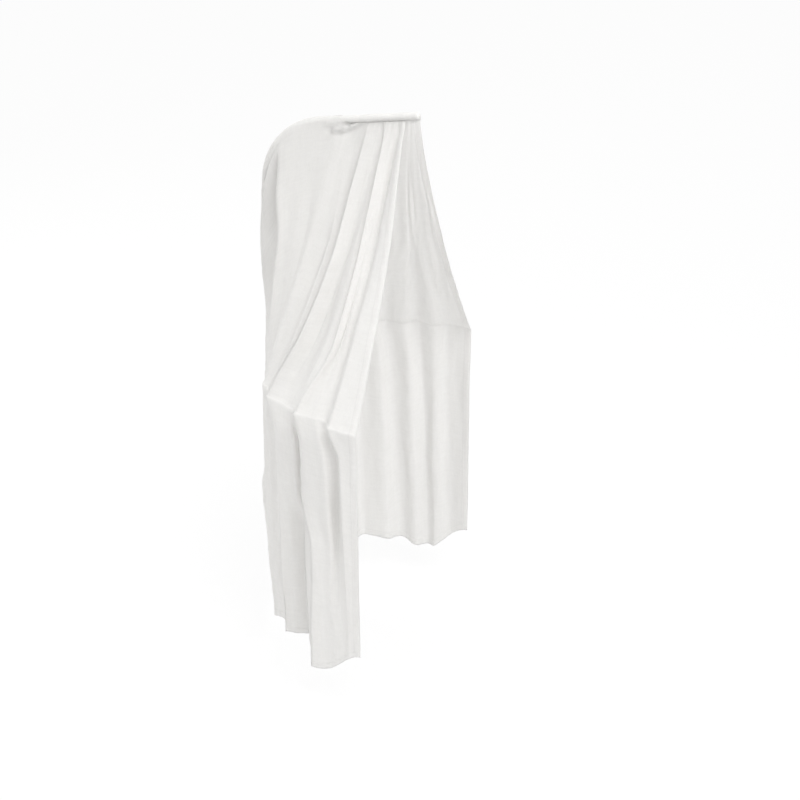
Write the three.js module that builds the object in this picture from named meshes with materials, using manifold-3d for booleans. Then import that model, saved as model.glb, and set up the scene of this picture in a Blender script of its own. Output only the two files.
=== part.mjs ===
// A draped canopy on a clamp-on rod: a bent tube that slides and turns in a clamped lower tube.
// Millimetres, +Z up. The origin is the middle of the fixed jaw's pad face, +X runs along the arm.

import * as THREE from 'three';
import { mergeVertices } from 'three/addons/utils/BufferGeometryUtils.js';
import Module from 'manifold-3d';

const wasm = await Module();
wasm.setup();

// Clearances and roundness
const gap = 0.3;
const overrun = 5;
const roundSides = 24;
const smallSides = 12;

// Tubes: the lower one is clamped, the upper one is bent and carries the cloth
const mastBack = 26;
const lowerRadius = 10;
const upperRadius = 8;
const tubeWall = 1.5;
const lowerTop = 270;
const lowerFoot = -420;
const upperFoot = 150;
const straightTop = 499;
const bendRadius = 215;
const armRiseDeg = 11.5;
const armLength = 250;
const bendSteps = 22;

// Plugs and caps of the tubes
const plugLength = 15;
const capThick = 4;
const glidePlay = 0.2;

// Clamp: an upturned U over a rail, its pads, and the socket for the lower tube
const railThick = 30;
const railTop = 20;
const padThick = 3;
const padHeight = 34;
const padWidth = 34;
const padCorner = 5;
const clampWidth = 45;
const clampCorner = 6;
const clampDrop = 24;
const bridgeThick = 11;
const jawTravelOut = 12;
const innerLegThick = 12;
const innerLegDrop = 16;
const saddleWall = 4.2;
const saddleFlange = 5.5;

// Screws that draw the saddle on the tube
const saddleScrewRadius = 2.5;
const saddleScrewOut = 17.5;
const saddleScrewUp = 13;
const nutThick = 4;
const headThick = 3.2;
const headRadius = 4.2;

// Moving jaw, its screw, nut and knob
const jawThick = 5.5;
const jawBossLength = 7;
const jawBossRadius = 8;
const clampScrewRadius = 5;
const screwTipRadius = 4;
const screwTipLength = 5.7;
const clampNutRadius = 9;
const clampNutLength = 9;
const jawTravelIn = 14;
const knobRadius = 18;
const knobThick = 16;
const knobHub = 10;
const knobHubLength = 5;
const knobLobes = 6;
const knobLobeShare = 0.09;
const lobeSteps = 8;
const knobFloor = 3;
const knobEdge = 2;

// Collar on the lower tube, the split bush in it, and its lock
const collarRadius = 14;
const collarBelow = 32;
const collarAbove = 36;
const collarLip = 4;
const bushThick = 1.7;
const bushSlit = 2;
const bossRadius = 9;
const bossLength = 13;
const bossBelowTop = 20;
const lockScrewRadius = 3;
const lockPadThick = 3;
const lockScrewLength = 21;
const lockKnobRadius = 14;
const lockKnobThick = 13;
const collarScrewRadius = 2;
const collarScrewBelow = 20;

// Lower rest: a pinched ring that stands the lower tube off the wall below the rail
const restDrop = 330;
const restHeight = 22;
const restWall = 5.5;
const wallLeanShare = 0.0576;
const stubRadius = 7;
const bumperRadius = 11;
const bumperThick = 9;
const earThick = 6;
const earSlit = 2;
const earOut = 13;
const earHeight = 16;
const pinchScrewRadius = 2.5;

// Cloth: panel thickness, and the pocket sewn round the arm with its fin under it
const clothThick = 1.5;
const pocketThick = 1;
const finDrop = 19;
const finThick = 1.2;
const pocketEnd = 6;
const pocketStart = 92;
const pocketLead = 4;
const turnUnder = 48;
const clothLoose = 2.6;
const crumple = 5;
const rollSwell = 7;
const rollBelow = 60;
const rollEnd = 285;

// The oval that the cloth falls over, and how far the cloth stands off it
const ovalHalfX = 385;
const ovalHalfY = 320;
const ovalBack = 15;
const frontNearDeg = 90.7;
const frontFarDeg = 95;
const ovalSteps = 240;
const noseDepth = 24;
const noseWidth = 50;
const hangOff = 12;
const ledgeWidth = 18;
const ledgeTop = 24;
const ledgeRound = 14;
const ledgeStartShare = 0.15;
const hemDrop = 690;
const seamDrop = 14;
const sagPower = 1.35;
const nosePower = 0.4;
const noseSag = 0.7;
const frontBulge = 8;

// Folds: at each level, how far round the panel each valley or ridge lies and how deep it is.
// Levels are 0 at the rod, 1 on the rail and 2 at the hem. Depths are shares of foldDepth.
const foldDepth = 20;
const columnsPerFold = 2;
const columnsPerCrumple = 5;
const columnsPerNose = 3;
const levelShares = [0, 0.45, 1, 1.3, 2];
const backFold = { roundShares: [0, 0, 0, 0, 0], depthShares: [0.1, 0.35, 0, 0, 0.1], columns: columnsPerNose };
const mastFold = { roundShares: [0.078, 0.079, 0.08, 0.085, 0.09], depthShares: [0, -0.45, -0.1, 0, 0] };
const frontFold = { roundShares: [1, 1, 1, 1, 1], depthShares: [0.05, 0.1, 0.2, 0.1, 0.1] };
const nearFolds = [
  backFold,
  mastFold,
  { roundShares: [0.125, 0.145, 0.15, 0.17, 0.18], depthShares: [0, 0.2, -0.1, 0.45, 0.3] },
  { roundShares: [0.2, 0.225, 0.26, 0.27, 0.28], depthShares: [0, -0.35, -0.25, -0.2, -0.5] },
  { roundShares: [0.29, 0.315, 0.33, 0.36, 0.37], depthShares: [0, 0.15, 0.2, 0.4, 0.5], columns: columnsPerCrumple },
  { roundShares: [0.39, 0.368, 0.38, 0.46, 0.44], depthShares: [0, -0.5, -0.35, -0.35, -0.3] },
  { roundShares: [0.47, 0.51, 0.405, 0.535, 0.515], depthShares: [0.15, 0.5, 0.5, 0.5, 0.5] },
  { roundShares: [0.54, 0.6, 0.52, 0.585, 0.56], depthShares: [0.05, 0, 0.1, -0.3, -0.45] },
  { roundShares: [0.61, 0.69, 0.63, 0.72, 0.705], depthShares: [0, -0.5, -0.35, -0.45, -0.5] },
  { roundShares: [0.66, 0.728, 0.655, 0.765, 0.735], depthShares: [0.15, 0.5, 0.5, 0.5, 0.6] },
  { roundShares: [0.73, 0.79, 0.76, 0.84, 0.83], depthShares: [0.1, 0.1, 0.3, 0.35, 0.3] },
  { roundShares: [0.79, 0.834, 0.832, 0.91, 0.935], depthShares: [0, -0.45, -0.35, -0.3, -0.35] },
  { roundShares: [0.86, 0.887, 0.857, 0.95, 0.965], depthShares: [0.15, 0.5, 0.5, 0.3, 0.3] },
  frontFold,
];
const farFolds = [
  backFold,
  mastFold,
  { roundShares: [0.14, 0.135, 0.14, 0.15, 0.16], depthShares: [0, 0.3, 0.2, 0.5, 0.6] },
  { roundShares: [0.2, 0.24, 0.25, 0.255, 0.255], depthShares: [0, -0.3, -0.1, -0.3, -0.35] },
  { roundShares: [0.27, 0.325, 0.325, 0.345, 0.35], depthShares: [0, 0.3, 0.3, 0.5, 0.5], columns: columnsPerCrumple },
  { roundShares: [0.37, 0.42, 0.405, 0.42, 0.43], depthShares: [0, -0.45, -0.3, -0.4, -0.45] },
  { roundShares: [0.47, 0.475, 0.45, 0.49, 0.5], depthShares: [0.15, 0.45, 0.45, 0.5, 0.5] },
  { roundShares: [0.555, 0.57, 0.555, 0.59, 0.6], depthShares: [0, -0.5, -0.35, -0.4, -0.5] },
  { roundShares: [0.61, 0.625, 0.6, 0.65, 0.67], depthShares: [0.15, 0.45, 0.45, 0.5, 0.55] },
  { roundShares: [0.765, 0.745, 0.695, 0.73, 0.75], depthShares: [0, -0.45, -0.35, -0.4, -0.4] },
  { roundShares: [0.8, 0.78, 0.75, 0.785, 0.8], depthShares: [0.15, 0.45, 0.4, 0.45, 0.4] },
  { roundShares: [0.84, 0.81, 0.825, 0.83, 0.84], depthShares: [0, -0.35, -0.3, -0.3, -0.3] },
  { roundShares: [0.92, 0.91, 0.9, 0.9, 0.91], depthShares: [0.1, 0.3, 0.35, 0.4, 0.4] },
  frontFold,
];

// How far along the rod a thread starts, for its place round the panel, and where the hem lies
const nearKeyShares = [0, 0.2, 0.42, 0.66, 0.83, 1];
const nearRodShares = [0, 0.42, 0.745, 0.835, 0.91, 0.925];
const farKeyShares = [0, 0.18, 0.37, 0.58, 0.73, 0.88, 1];
const farRodShares = [0, 0.42, 0.72, 0.83, 0.92, 0.975, 0.995];
const hemKeyShares = [0, 0.2, 0.45, 0.65, 0.8, 1];
const hemShares = [1.075, 1.075, 1, 1, 1.05, 0.935];
const rowShares = [
  -1, -0.67, -0.33, 0, 0.06, 0.16, 0.3, 0.45, 0.6, 0.75, 0.88, 1, 1.01, 1.02, 1.1, 1.22, 1.4, 1.6, 1.8, 2,
];
const ledgeShare = 0.02;
const seamEndShare = 0.06;
const wrapShare = 0.8;

// Derived places
const rise = THREE.MathUtils.degToRad(armRiseDeg);
const mastX = -mastBack;
const ovalCentre = ovalHalfX - ovalBack;
const legFace = -padThick - gap;
const legBack = mastX + gap / 2;
const socketRadius = lowerRadius + gap;
const bridgeLow = railTop + padThick + gap;
const bridgeHigh = bridgeLow + bridgeThick;
const movingPadFace = railThick;
const jawFace = movingPadFace + padThick + gap;
const jawBack = jawFace + jawThick;
const jawBossEnd = jawBack + jawBossLength;
const innerLegFace = jawBossEnd + jawTravelOut + gap + gap;
const innerLegBack = innerLegFace + innerLegThick;
const knobFace = innerLegBack + jawTravelIn + gap + gap;
const knobStart = knobFace + knobHubLength;
const knobEnd = knobStart + knobThick;
const clampScrewStart = jawBossEnd - screwTipLength;
const clampScrewEnd = knobEnd - knobFloor - gap;
const bendTurn = Math.PI / 2 - rise;
const bendLength = bendRadius * bendTurn;
const rodLength = bendLength + armLength + pocketEnd;
const bendCentreX = mastX + bendRadius;
const collarLow = lowerTop - collarBelow;
const collarHigh = lowerTop + collarAbove;
const bushLow = lowerTop + gap;
const bushHigh = collarHigh - collarLip - gap;
const bushOuter = socketRadius - gap;
const bushInner = bushOuter - bushThick;
const lockZ = collarHigh - bossBelowTop;
const lockPadStart = mastX + socketRadius;
const bossEnd = mastX + collarRadius + bossLength;
const lockScrewStart = lockPadStart + lockPadThick + gap;
const lockKnobStart = bossEnd + gap + gap;
const clothHalf = clothThick / 2;

// Colours
const cottonColour = 0xf3f1ec;
const steelColour = 0xf4f4f2;
const zincColour = 0xb9bcc0;
const brassColour = 0xc2a45c;
const plasticColour = 0xe9e9e6;
const rubberColour = 0x55565a;
const nylonColour = 0xf0eee6;

const paint = (color, roughness, metalness) => new THREE.MeshStandardMaterial({ color, roughness, metalness });
const cotton = paint(cottonColour, 0.9, 0);
const whiteSteel = paint(steelColour, 0.4, 0.1);
const zinc = paint(zincColour, 0.35, 1);
const brass = paint(brassColour, 0.3, 1);
const plastic = paint(plasticColour, 0.45, 0);
const rubber = paint(rubberColour, 0.9, 0);
const nylon = paint(nylonColour, 0.5, 0);

const canopy = new THREE.Group();

function addPiece(name, geometry, material) {
  const mesh = new THREE.Mesh(geometry, material);
  mesh.name = name;
  canopy.add(mesh);
}

// Solids from geometries, and geometries from solids
function toSolid(geometry) {
  const bare = geometry.clone();
  bare.deleteAttribute('normal');
  bare.deleteAttribute('uv');
  const merged = mergeVertices(bare);
  const vertProperties = new Float32Array(merged.attributes.position.array);
  const triVerts = new Uint32Array(merged.index.array);
  return new wasm.Manifold(new wasm.Mesh({ numProp: 3, vertProperties, triVerts }));
}

function toGeometry(solid) {
  const mesh = solid.getMesh();
  const geometry = new THREE.BufferGeometry();
  geometry.setAttribute('position', new THREE.BufferAttribute(new Float32Array(mesh.vertProperties), 3));
  geometry.setIndex(new THREE.BufferAttribute(new Uint32Array(mesh.triVerts), 1));
  return geometry;
}

const join = (...parts) => parts.map(toSolid).reduce((sum, part) => sum.add(part));
const cut = (solid, ...tools) => tools.map(toSolid).reduce((rest, tool) => rest.subtract(tool), solid);

function block(x0, x1, y0, y1, z0, z1) {
  const geometry = new THREE.BoxGeometry(x1 - x0, y1 - y0, z1 - z0);
  return geometry.translate((x0 + x1) / 2, (y0 + y1) / 2, (z0 + z1) / 2);
}

function barX(radius, x0, x1, y, z, sides = roundSides) {
  const geometry = new THREE.CylinderGeometry(radius, radius, x1 - x0, sides);
  return geometry.rotateZ(Math.PI / 2).translate((x0 + x1) / 2, y, z);
}

function barY(radius, y0, y1, x, z, sides = roundSides) {
  const geometry = new THREE.CylinderGeometry(radius, radius, y1 - y0, sides);
  return geometry.translate(x, (y0 + y1) / 2, z);
}

// A profile of [radius, height] pairs turned about +Z, through the point (x, 0)
function turned(profile, x, sides = roundSides) {
  const points = profile.map(([radius, height]) => new THREE.Vector2(radius, height));
  return new THREE.LatheGeometry(points, sides).rotateX(Math.PI / 2).translate(x, 0, 0);
}

// The same turned about +X, through the point (y, z)
function turnedX(profile, y, z, sides = roundSides) {
  const points = profile.map(([radius, along]) => new THREE.Vector2(radius, along));
  return new THREE.LatheGeometry(points, sides).rotateZ(-Math.PI / 2).translate(0, y, z);
}

// A six-sided nut along +X with a round bore
function hexNut(bore, radius, x0, x1, y, z) {
  const blank = toSolid(barX(radius, x0, x1, y, z, 6));
  return toGeometry(cut(blank, barX(bore, x0 - overrun, x1 + overrun, y, z, smallSides)));
}

function ringProfile(inner, outer, low, high) {
  return [[inner, low], [outer, low], [outer, high], [inner, high], [inner, low]];
}

// A plate of rounded outline whose thickness runs along +X from x0 to x1
function roundedPlate(width, height, corner, x0, x1, z = 0) {
  const shape = new THREE.Shape();
  const w = width / 2;
  const h = height / 2;
  shape.absarc(w - corner, h - corner, corner, 0, Math.PI / 2);
  shape.absarc(corner - w, h - corner, corner, Math.PI / 2, Math.PI);
  shape.absarc(corner - w, corner - h, corner, Math.PI, 1.5 * Math.PI);
  shape.absarc(w - corner, corner - h, corner, 1.5 * Math.PI, 2 * Math.PI);
  const geometry = new THREE.ExtrudeGeometry(shape, { depth: x1 - x0, bevelEnabled: false, curveSegments: 4 });
  return geometry.rotateZ(Math.PI / 2).rotateY(Math.PI / 2).translate(x0, 0, z);
}

// A lobed hand knob round an axis along +X, with its edges rounded
function lobedKnob(radius, lobes, x0, x1, z) {
  const shape = new THREE.Shape();
  const steps = lobes * lobeSteps;
  const outer = radius / (1 + knobLobeShare) - knobEdge;
  for (let i = 0; i < steps; i += 1) {
    const turn = (i / steps) * 2 * Math.PI;
    const reach = outer * (1 + knobLobeShare * Math.cos(lobes * turn));
    const [x, y] = [reach * Math.cos(turn), reach * Math.sin(turn)];
    if (i === 0) {
      shape.moveTo(x, y);
    } else {
      shape.lineTo(x, y);
    }
  }
  shape.closePath();
  const settings = { depth: x1 - x0 - 2 * knobEdge, bevelThickness: knobEdge, bevelSize: knobEdge, bevelSegments: 2 };
  const geometry = new THREE.ExtrudeGeometry(shape, settings);
  return geometry.rotateY(Math.PI / 2).translate(x0 + knobEdge, 0, z);
}

// The rod's centre line: a point and the direction at a distance along it from the bend's start
function rodAt(distance) {
  const turn = Math.min(Math.max(distance, 0), bendLength) / bendRadius;
  const beyond = Math.max(distance - bendLength, 0);
  const x = bendCentreX - bendRadius * Math.cos(turn) + beyond * Math.cos(rise);
  const z = straightTop + bendRadius * Math.sin(turn) + beyond * Math.sin(rise) + Math.min(distance, 0);
  const heading = Math.PI / 2 - turn;
  return { x, z, heading };
}

// A point beside the rod: out is away from the bend's inside, side is towards +Y
function besideRod(distance, out, side) {
  const { x, z, heading } = rodAt(distance);
  return new THREE.Vector3(x - out * Math.sin(heading), side, z + out * Math.cos(heading));
}

// The bent tube, ring by ring: outer wall, inner wall and both end faces
function bentTube() {
  const stations = [upperFoot - straightTop];
  for (let i = 0; i <= bendSteps; i += 1) {
    stations.push((bendLength * i) / bendSteps);
  }
  stations.push(bendLength + armLength);
  const positions = [];
  const index = [];
  for (const radius of [upperRadius, upperRadius - tubeWall]) {
    for (const station of stations) {
      for (let k = 0; k < roundSides; k += 1) {
        const turn = (k / roundSides) * 2 * Math.PI;
        const point = besideRod(station, radius * Math.cos(turn), radius * Math.sin(turn));
        positions.push(point.x, point.y, point.z);
      }
    }
  }
  const at = (wall, ring, k) => (wall * stations.length + ring) * roundSides + (k % roundSides);
  const quad = (a, b, c, d) => index.push(a, c, b, a, d, c);
  const last = stations.length - 1;
  for (let k = 0; k < roundSides; k += 1) {
    for (let ring = 0; ring < last; ring += 1) {
      quad(at(0, ring, k), at(0, ring, k + 1), at(0, ring + 1, k + 1), at(0, ring + 1, k));
      quad(at(1, ring, k), at(1, ring + 1, k), at(1, ring + 1, k + 1), at(1, ring, k + 1));
    }
    quad(at(0, 0, k), at(1, 0, k), at(1, 0, k + 1), at(0, 0, k + 1));
    quad(at(0, last, k), at(0, last, k + 1), at(1, last, k + 1), at(1, last, k));
  }
  const geometry = new THREE.BufferGeometry();
  geometry.setAttribute('position', new THREE.Float32BufferAttribute(positions, 3));
  geometry.setIndex(index);
  return geometry;
}

// Upper tube with its plugs
const upperBore = upperRadius - tubeWall;
addPiece('upper_tube', bentTube(), whiteSteel);

const glideProfile = [
  [0, upperFoot - gap - capThick],
  [lowerRadius - tubeWall - glidePlay, upperFoot - gap - capThick],
  [lowerRadius - tubeWall - glidePlay, upperFoot - gap],
  [upperBore - gap, upperFoot - gap],
  [upperBore - gap, upperFoot + plugLength],
  [0, upperFoot + plugLength],
];
addPiece('glide_plug', turned(glideProfile, mastX), nylon);

function alongArm(geometry) {
  const end = besideRod(bendLength + armLength, 0, 0);
  return geometry.rotateY(Math.PI / 2 - rise).translate(end.x, end.y, end.z);
}

const endCapProfile = [
  [0, -plugLength],
  [upperBore - gap, -plugLength],
  [upperBore - gap, gap],
  [upperRadius, gap],
  [upperRadius, capThick / 2],
  [upperRadius - capThick / 2, capThick],
  [0, capThick],
];
addPiece('arm_end_cap', alongArm(turned(endCapProfile, 0)), plastic);

// Lower tube with its foot cap
addPiece('lower_tube', turned(ringProfile(lowerRadius - tubeWall, lowerRadius, lowerFoot, lowerTop), mastX), whiteSteel);

const footCapProfile = [
  [0, lowerFoot - gap - capThick],
  [lowerRadius - capThick / 2, lowerFoot - gap - capThick],
  [lowerRadius, lowerFoot - gap - capThick / 2],
  [lowerRadius, lowerFoot - gap],
  [lowerRadius - tubeWall - gap, lowerFoot - gap],
  [lowerRadius - tubeWall - gap, lowerFoot + plugLength],
  [0, lowerFoot + plugLength],
];
addPiece('foot_cap', turned(footCapProfile, mastX), plastic);

// Collar with its lock boss, over the lower tube's end
const collarProfile = [
  [socketRadius, collarLow],
  [collarRadius, collarLow],
  [collarRadius, collarHigh - capThick / 2],
  [collarRadius - capThick / 2, collarHigh],
  [upperRadius + 2 * gap, collarHigh],
  [upperRadius + 2 * gap, collarHigh - collarLip],
  [socketRadius, collarHigh - collarLip],
  [socketRadius, collarLow],
];
const collarShell = toSolid(turned(collarProfile, mastX));
const boss = toSolid(barX(bossRadius, mastX + socketRadius + collarLip / 2, bossEnd, 0, lockZ));
const collar = cut(
  collarShell.add(boss),
  barX(lockScrewRadius + gap, mastX + upperRadius, bossEnd + overrun, 0, lockZ, smallSides),
  barY(collarScrewRadius + gap, -collarRadius - overrun, -upperRadius, mastX, lowerTop - collarScrewBelow, smallSides),
);
addPiece('collar', toGeometry(collar), plastic);

const collarScrew = barY(collarScrewRadius, -collarRadius, -socketRadius, mastX, lowerTop - collarScrewBelow, smallSides);
addPiece('collar_screw', collarScrew, zinc);

const bushRing = toSolid(turned(ringProfile(bushInner, bushOuter, bushLow, bushHigh), mastX));
const slitTool = block(
  mastX - bushOuter - overrun,
  mastX,
  -bushSlit / 2,
  bushSlit / 2,
  bushLow - overrun,
  bushHigh + overrun,
);
addPiece('collar_bush', toGeometry(cut(bushRing, slitTool)), nylon);

// Lock: pad, screw and knob
addPiece('lock_pad', barX(lockScrewRadius, lockPadStart, lockPadStart + lockPadThick, 0, lockZ, smallSides), brass);
const lockScrewEnd = lockScrewStart + lockScrewLength;
addPiece('lock_screw', barX(lockScrewRadius, lockScrewStart, lockScrewEnd, 0, lockZ, smallSides), zinc);
const lockKnobEnd = lockKnobStart + lockKnobThick;
const lockKnob = cut(
  toSolid(lobedKnob(lockKnobRadius, knobLobes, lockKnobStart, lockKnobEnd, lockZ)),
  barX(lockScrewRadius + gap, lockKnobStart - overrun, lockScrewEnd + gap, 0, lockZ, smallSides),
);
addPiece('lock_knob', toGeometry(lockKnob), plastic);

// Clamp body: two legs and a bridge in one casting, with half of the tube's socket in the outer leg
function clampOutline() {
  const shape = new THREE.Shape();
  const c = clampCorner;
  shape.moveTo(legBack, -clampDrop);
  shape.lineTo(legFace, -clampDrop);
  shape.lineTo(legFace, bridgeLow);
  shape.lineTo(innerLegFace - c, bridgeLow);
  shape.absarc(innerLegFace - c, bridgeLow - c, c, Math.PI / 2, 0, true);
  shape.lineTo(innerLegFace, -innerLegDrop);
  shape.lineTo(innerLegBack, -innerLegDrop);
  shape.lineTo(innerLegBack, bridgeHigh - c);
  shape.absarc(innerLegBack - c, bridgeHigh - c, c, 0, Math.PI / 2);
  shape.lineTo(legBack, bridgeHigh);
  shape.closePath();
  return shape;
}
const clampSettings = { depth: clampWidth, bevelEnabled: false, curveSegments: 6 };
const clampBlank = new THREE.ExtrudeGeometry(clampOutline(), clampSettings)
  .rotateX(Math.PI / 2)
  .translate(0, clampWidth / 2, 0);

const screwPlaces = [-1, 1].flatMap((side) => [-1, 1].map((end) => [side * saddleScrewOut, end * saddleScrewUp]));
const socketTool = turned(
  [
    [0, -clampDrop - overrun],
    [socketRadius, -clampDrop - overrun],
    [socketRadius, bridgeHigh + overrun],
    [0, bridgeHigh + overrun],
  ],
  mastX,
);
const nutPocketStart = legFace - nutThick - gap;
const screwTools = screwPlaces.flatMap(([y, z]) => [
  barX(saddleScrewRadius + gap, legBack - saddleFlange - overrun, legFace + overrun, y, z, smallSides),
  barX(headRadius + gap, nutPocketStart, legFace + overrun, y, z, 6),
]);
const clampBody = cut(
  toSolid(clampBlank),
  socketTool,
  ...screwTools,
  barX(clampScrewRadius + gap, innerLegFace - overrun, innerLegBack + overrun, 0, 0),
  barX(clampNutRadius + gap, innerLegFace - overrun, innerLegFace + clampNutLength + gap, 0, 0, 6),
);
addPiece('clamp_body', toGeometry(clampBody), whiteSteel);

// Saddle: the socket's other half
const saddleRadius = socketRadius + saddleWall;
const saddleFace = mastX - gap / 2;
const hump = turned(ringProfile(socketRadius, saddleRadius, -clampDrop, clampDrop), mastX);
const humpFront = block(
  saddleFace,
  mastX + saddleRadius + overrun,
  -saddleRadius - overrun,
  saddleRadius + overrun,
  -clampDrop - overrun,
  clampDrop + overrun,
);
const flanges = toSolid(block(saddleFace - saddleFlange, saddleFace, -clampWidth / 2, clampWidth / 2, -clampDrop, clampDrop));
const saddleHoles = screwPlaces.map(([y, z]) =>
  barX(saddleScrewRadius + gap, saddleFace - saddleFlange - overrun, saddleFace + overrun, y, z, smallSides),
);
const saddle = cut(flanges, socketTool).add(cut(toSolid(hump), humpFront));
addPiece('tube_saddle', toGeometry(cut(saddle, ...saddleHoles)), whiteSteel);

const headFace = saddleFace - saddleFlange - gap;
screwPlaces.forEach(([y, z], place) => {
  const screwProfile = [
    [0, headFace - headThick],
    [headRadius, headFace - headThick],
    [headRadius, headFace],
    [saddleScrewRadius, headFace],
    [saddleScrewRadius, legFace - gap],
    [0, legFace - gap],
  ];
  addPiece(`saddle_screw_${place + 1}`, turnedX(screwProfile, y, z, smallSides), zinc);
  const nut = hexNut(saddleScrewRadius + gap, headRadius, nutPocketStart + gap, legFace - gap, y, z);
  addPiece(`saddle_nut_${place + 1}`, nut, zinc);
});

// Pads of the clamp
addPiece('fixed_jaw_pad', roundedPlate(padWidth, padHeight, padCorner, -padThick, 0), rubber);
addPiece('moving_jaw_pad', roundedPlate(padWidth, padHeight, padCorner, movingPadFace, jawFace - gap), rubber);
const topPad = block(padThick, innerLegFace - clampCorner - gap, -padWidth / 2, padWidth / 2, railTop, railTop + padThick);
addPiece('rail_top_pad', topPad, rubber);

// Moving jaw, with a blind seat for the screw's tip
const jawPlate = roundedPlate(padWidth, padHeight, padCorner, jawFace, jawBack);
const jawBoss = barX(jawBossRadius, jawFace + jawThick / 2, jawBossEnd, 0, 0);
const jaw = cut(
  join(jawPlate, jawBoss),
  barX(screwTipRadius + gap, clampScrewStart - gap, jawBossEnd + overrun, 0, 0, roundSides),
);
addPiece('moving_jaw', toGeometry(jaw), whiteSteel);

const clampNutEnd = innerLegFace + clampNutLength;
addPiece('clamp_nut', hexNut(clampScrewRadius + gap, clampNutRadius, innerLegFace, clampNutEnd, 0, 0), brass);

const clampScrewProfile = [
  [0, clampScrewStart],
  [screwTipRadius, clampScrewStart],
  [screwTipRadius, jawBossEnd + gap],
  [clampScrewRadius, jawBossEnd + gap],
  [clampScrewRadius, clampScrewEnd],
  [0, clampScrewEnd],
];
addPiece('clamp_screw', turnedX(clampScrewProfile, 0, 0), zinc);

const hub = toSolid(barX(knobHub, knobFace, knobStart + knobThick / 2, 0, 0));
const knobHead = toSolid(lobedKnob(knobRadius, knobLobes, knobStart, knobEnd, 0));
const knobBore = barX(clampScrewRadius + gap, knobFace - overrun, clampScrewEnd + gap, 0, 0);
addPiece('clamp_knob', toGeometry(cut(hub.add(knobHead), knobBore)), plastic);

// Lower rest: a ring with two ears, a stub, a bumper and the pinch screw
const restRadius = socketRadius + restWall;
const restLow = -restDrop - restHeight / 2;
const restHigh = -restDrop + restHeight / 2;
const bumperFace = restDrop * wallLeanShare;
const stubEnd = bumperFace - bumperThick / 2;
const earFar = socketRadius + earOut + restWall / 2;
const earBlock = block(
  mastX - earThick - earSlit / 2,
  mastX + earThick + earSlit / 2,
  socketRadius + restWall / 2,
  earFar,
  -restDrop - earHeight / 2,
  -restDrop + earHeight / 2,
);
const slit = block(
  mastX - earSlit / 2,
  mastX + earSlit / 2,
  lowerRadius / 2,
  earFar + overrun,
  restLow - overrun,
  restHigh + overrun,
);
const restRing = turned(ringProfile(socketRadius, restRadius, restLow, restHigh), mastX);
const stub = barX(stubRadius, mastX + socketRadius + restWall / 2, stubEnd, 0, -restDrop);
const pinchY = socketRadius + (restWall + earOut) / 2;
const pinchHole = barX(pinchScrewRadius + gap, mastX - 2 * earOut, mastX + 2 * earOut, pinchY, -restDrop, smallSides);
addPiece('rest_ring', toGeometry(cut(join(restRing, earBlock, stub), slit, pinchHole)), plastic);

const bumperBlank = roundedPlate(2 * bumperRadius, 2 * bumperRadius, bumperRadius / 2, stubEnd - bumperThick, bumperFace, -restDrop);
const bumper = cut(toSolid(bumperBlank), barX(stubRadius + gap, stubEnd - bumperThick - overrun, stubEnd + gap, 0, -restDrop));
addPiece('rest_bumper', toGeometry(bumper), rubber);

const earFace = earThick + earSlit / 2;
const pinchScrewProfile = [
  [0, mastX - earFace - gap - headThick],
  [headRadius, mastX - earFace - gap - headThick],
  [headRadius, mastX - earFace - gap],
  [pinchScrewRadius, mastX - earFace - gap],
  [pinchScrewRadius, mastX + earFace + gap + nutThick],
  [0, mastX + earFace + gap + nutThick],
];
addPiece('rest_screw', turnedX(pinchScrewProfile, pinchY, -restDrop, smallSides), zinc);
const nutFace = mastX + earFace + gap;
const restNut = hexNut(pinchScrewRadius + gap, headRadius, nutFace, nutFace + nutThick, pinchY, -restDrop);
addPiece('rest_nut', restNut, zinc);

// Rod pocket: a sewn tube of cloth round the arm, closed at its end, with a fin below that holds the panels
const pocketRadius = upperRadius + gap + pocketThick;
function pocketOutline() {
  const shape = new THREE.Shape();
  const half = Math.asin(finThick / 2 / pocketRadius);
  shape.moveTo(-finDrop, -finThick / 2);
  shape.absarc(0, 0, pocketRadius, Math.PI + half, 3 * Math.PI - half);
  shape.lineTo(-finDrop, finThick / 2);
  shape.closePath();
  return shape;
}
const pocketFrom = pocketStart - armLength;
const pocketBlank = new THREE.ExtrudeGeometry(pocketOutline(), {
  depth: pocketEnd - pocketFrom,
  bevelEnabled: false,
  curveSegments: roundSides,
}).rotateZ(Math.PI);
const pocketBore = new THREE.CylinderGeometry(
  upperRadius + gap,
  upperRadius + gap,
  pocketEnd - pocketThick - pocketFrom + overrun,
  roundSides,
);
pocketBore.rotateX(Math.PI / 2).translate(0, 0, (pocketEnd - pocketThick + pocketFrom - overrun) / 2);
const pocket = cut(toSolid(pocketBlank.translate(0, 0, pocketFrom)), pocketBore);
addPiece('rod_pocket', alongArm(toGeometry(pocket)), cotton);

// Smooth steps and smooth curves through a table of shares
const smooth = (share) => {
  const s = Math.min(Math.max(share, 0), 1);
  return s * s * (3 - 2 * s);
};

function along(keys, values, key) {
  let i = 0;
  while (i < keys.length - 2 && key > keys[i + 1]) {
    i += 1;
  }
  const slope = (k) => {
    if (k < 0 || k >= keys.length - 1) {
      return 0;
    }
    return (values[k + 1] - values[k]) / (keys[k + 1] - keys[k]);
  };
  const tangent = (k) => {
    const [before, after] = [slope(k - 1), slope(k)];
    return before * after > 0 ? (2 * before * after) / (before + after) : 0;
  };
  const width = keys[i + 1] - keys[i];
  const s = (key - keys[i]) / width;
  const rest = 1 - s;
  const low = values[i] * rest * rest * (1 + 2 * s) + tangent(i) * width * s * rest * rest;
  const high = values[i + 1] * s * s * (3 - 2 * s) - tangent(i + 1) * width * s * s * rest;
  return low + high;
}

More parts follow.
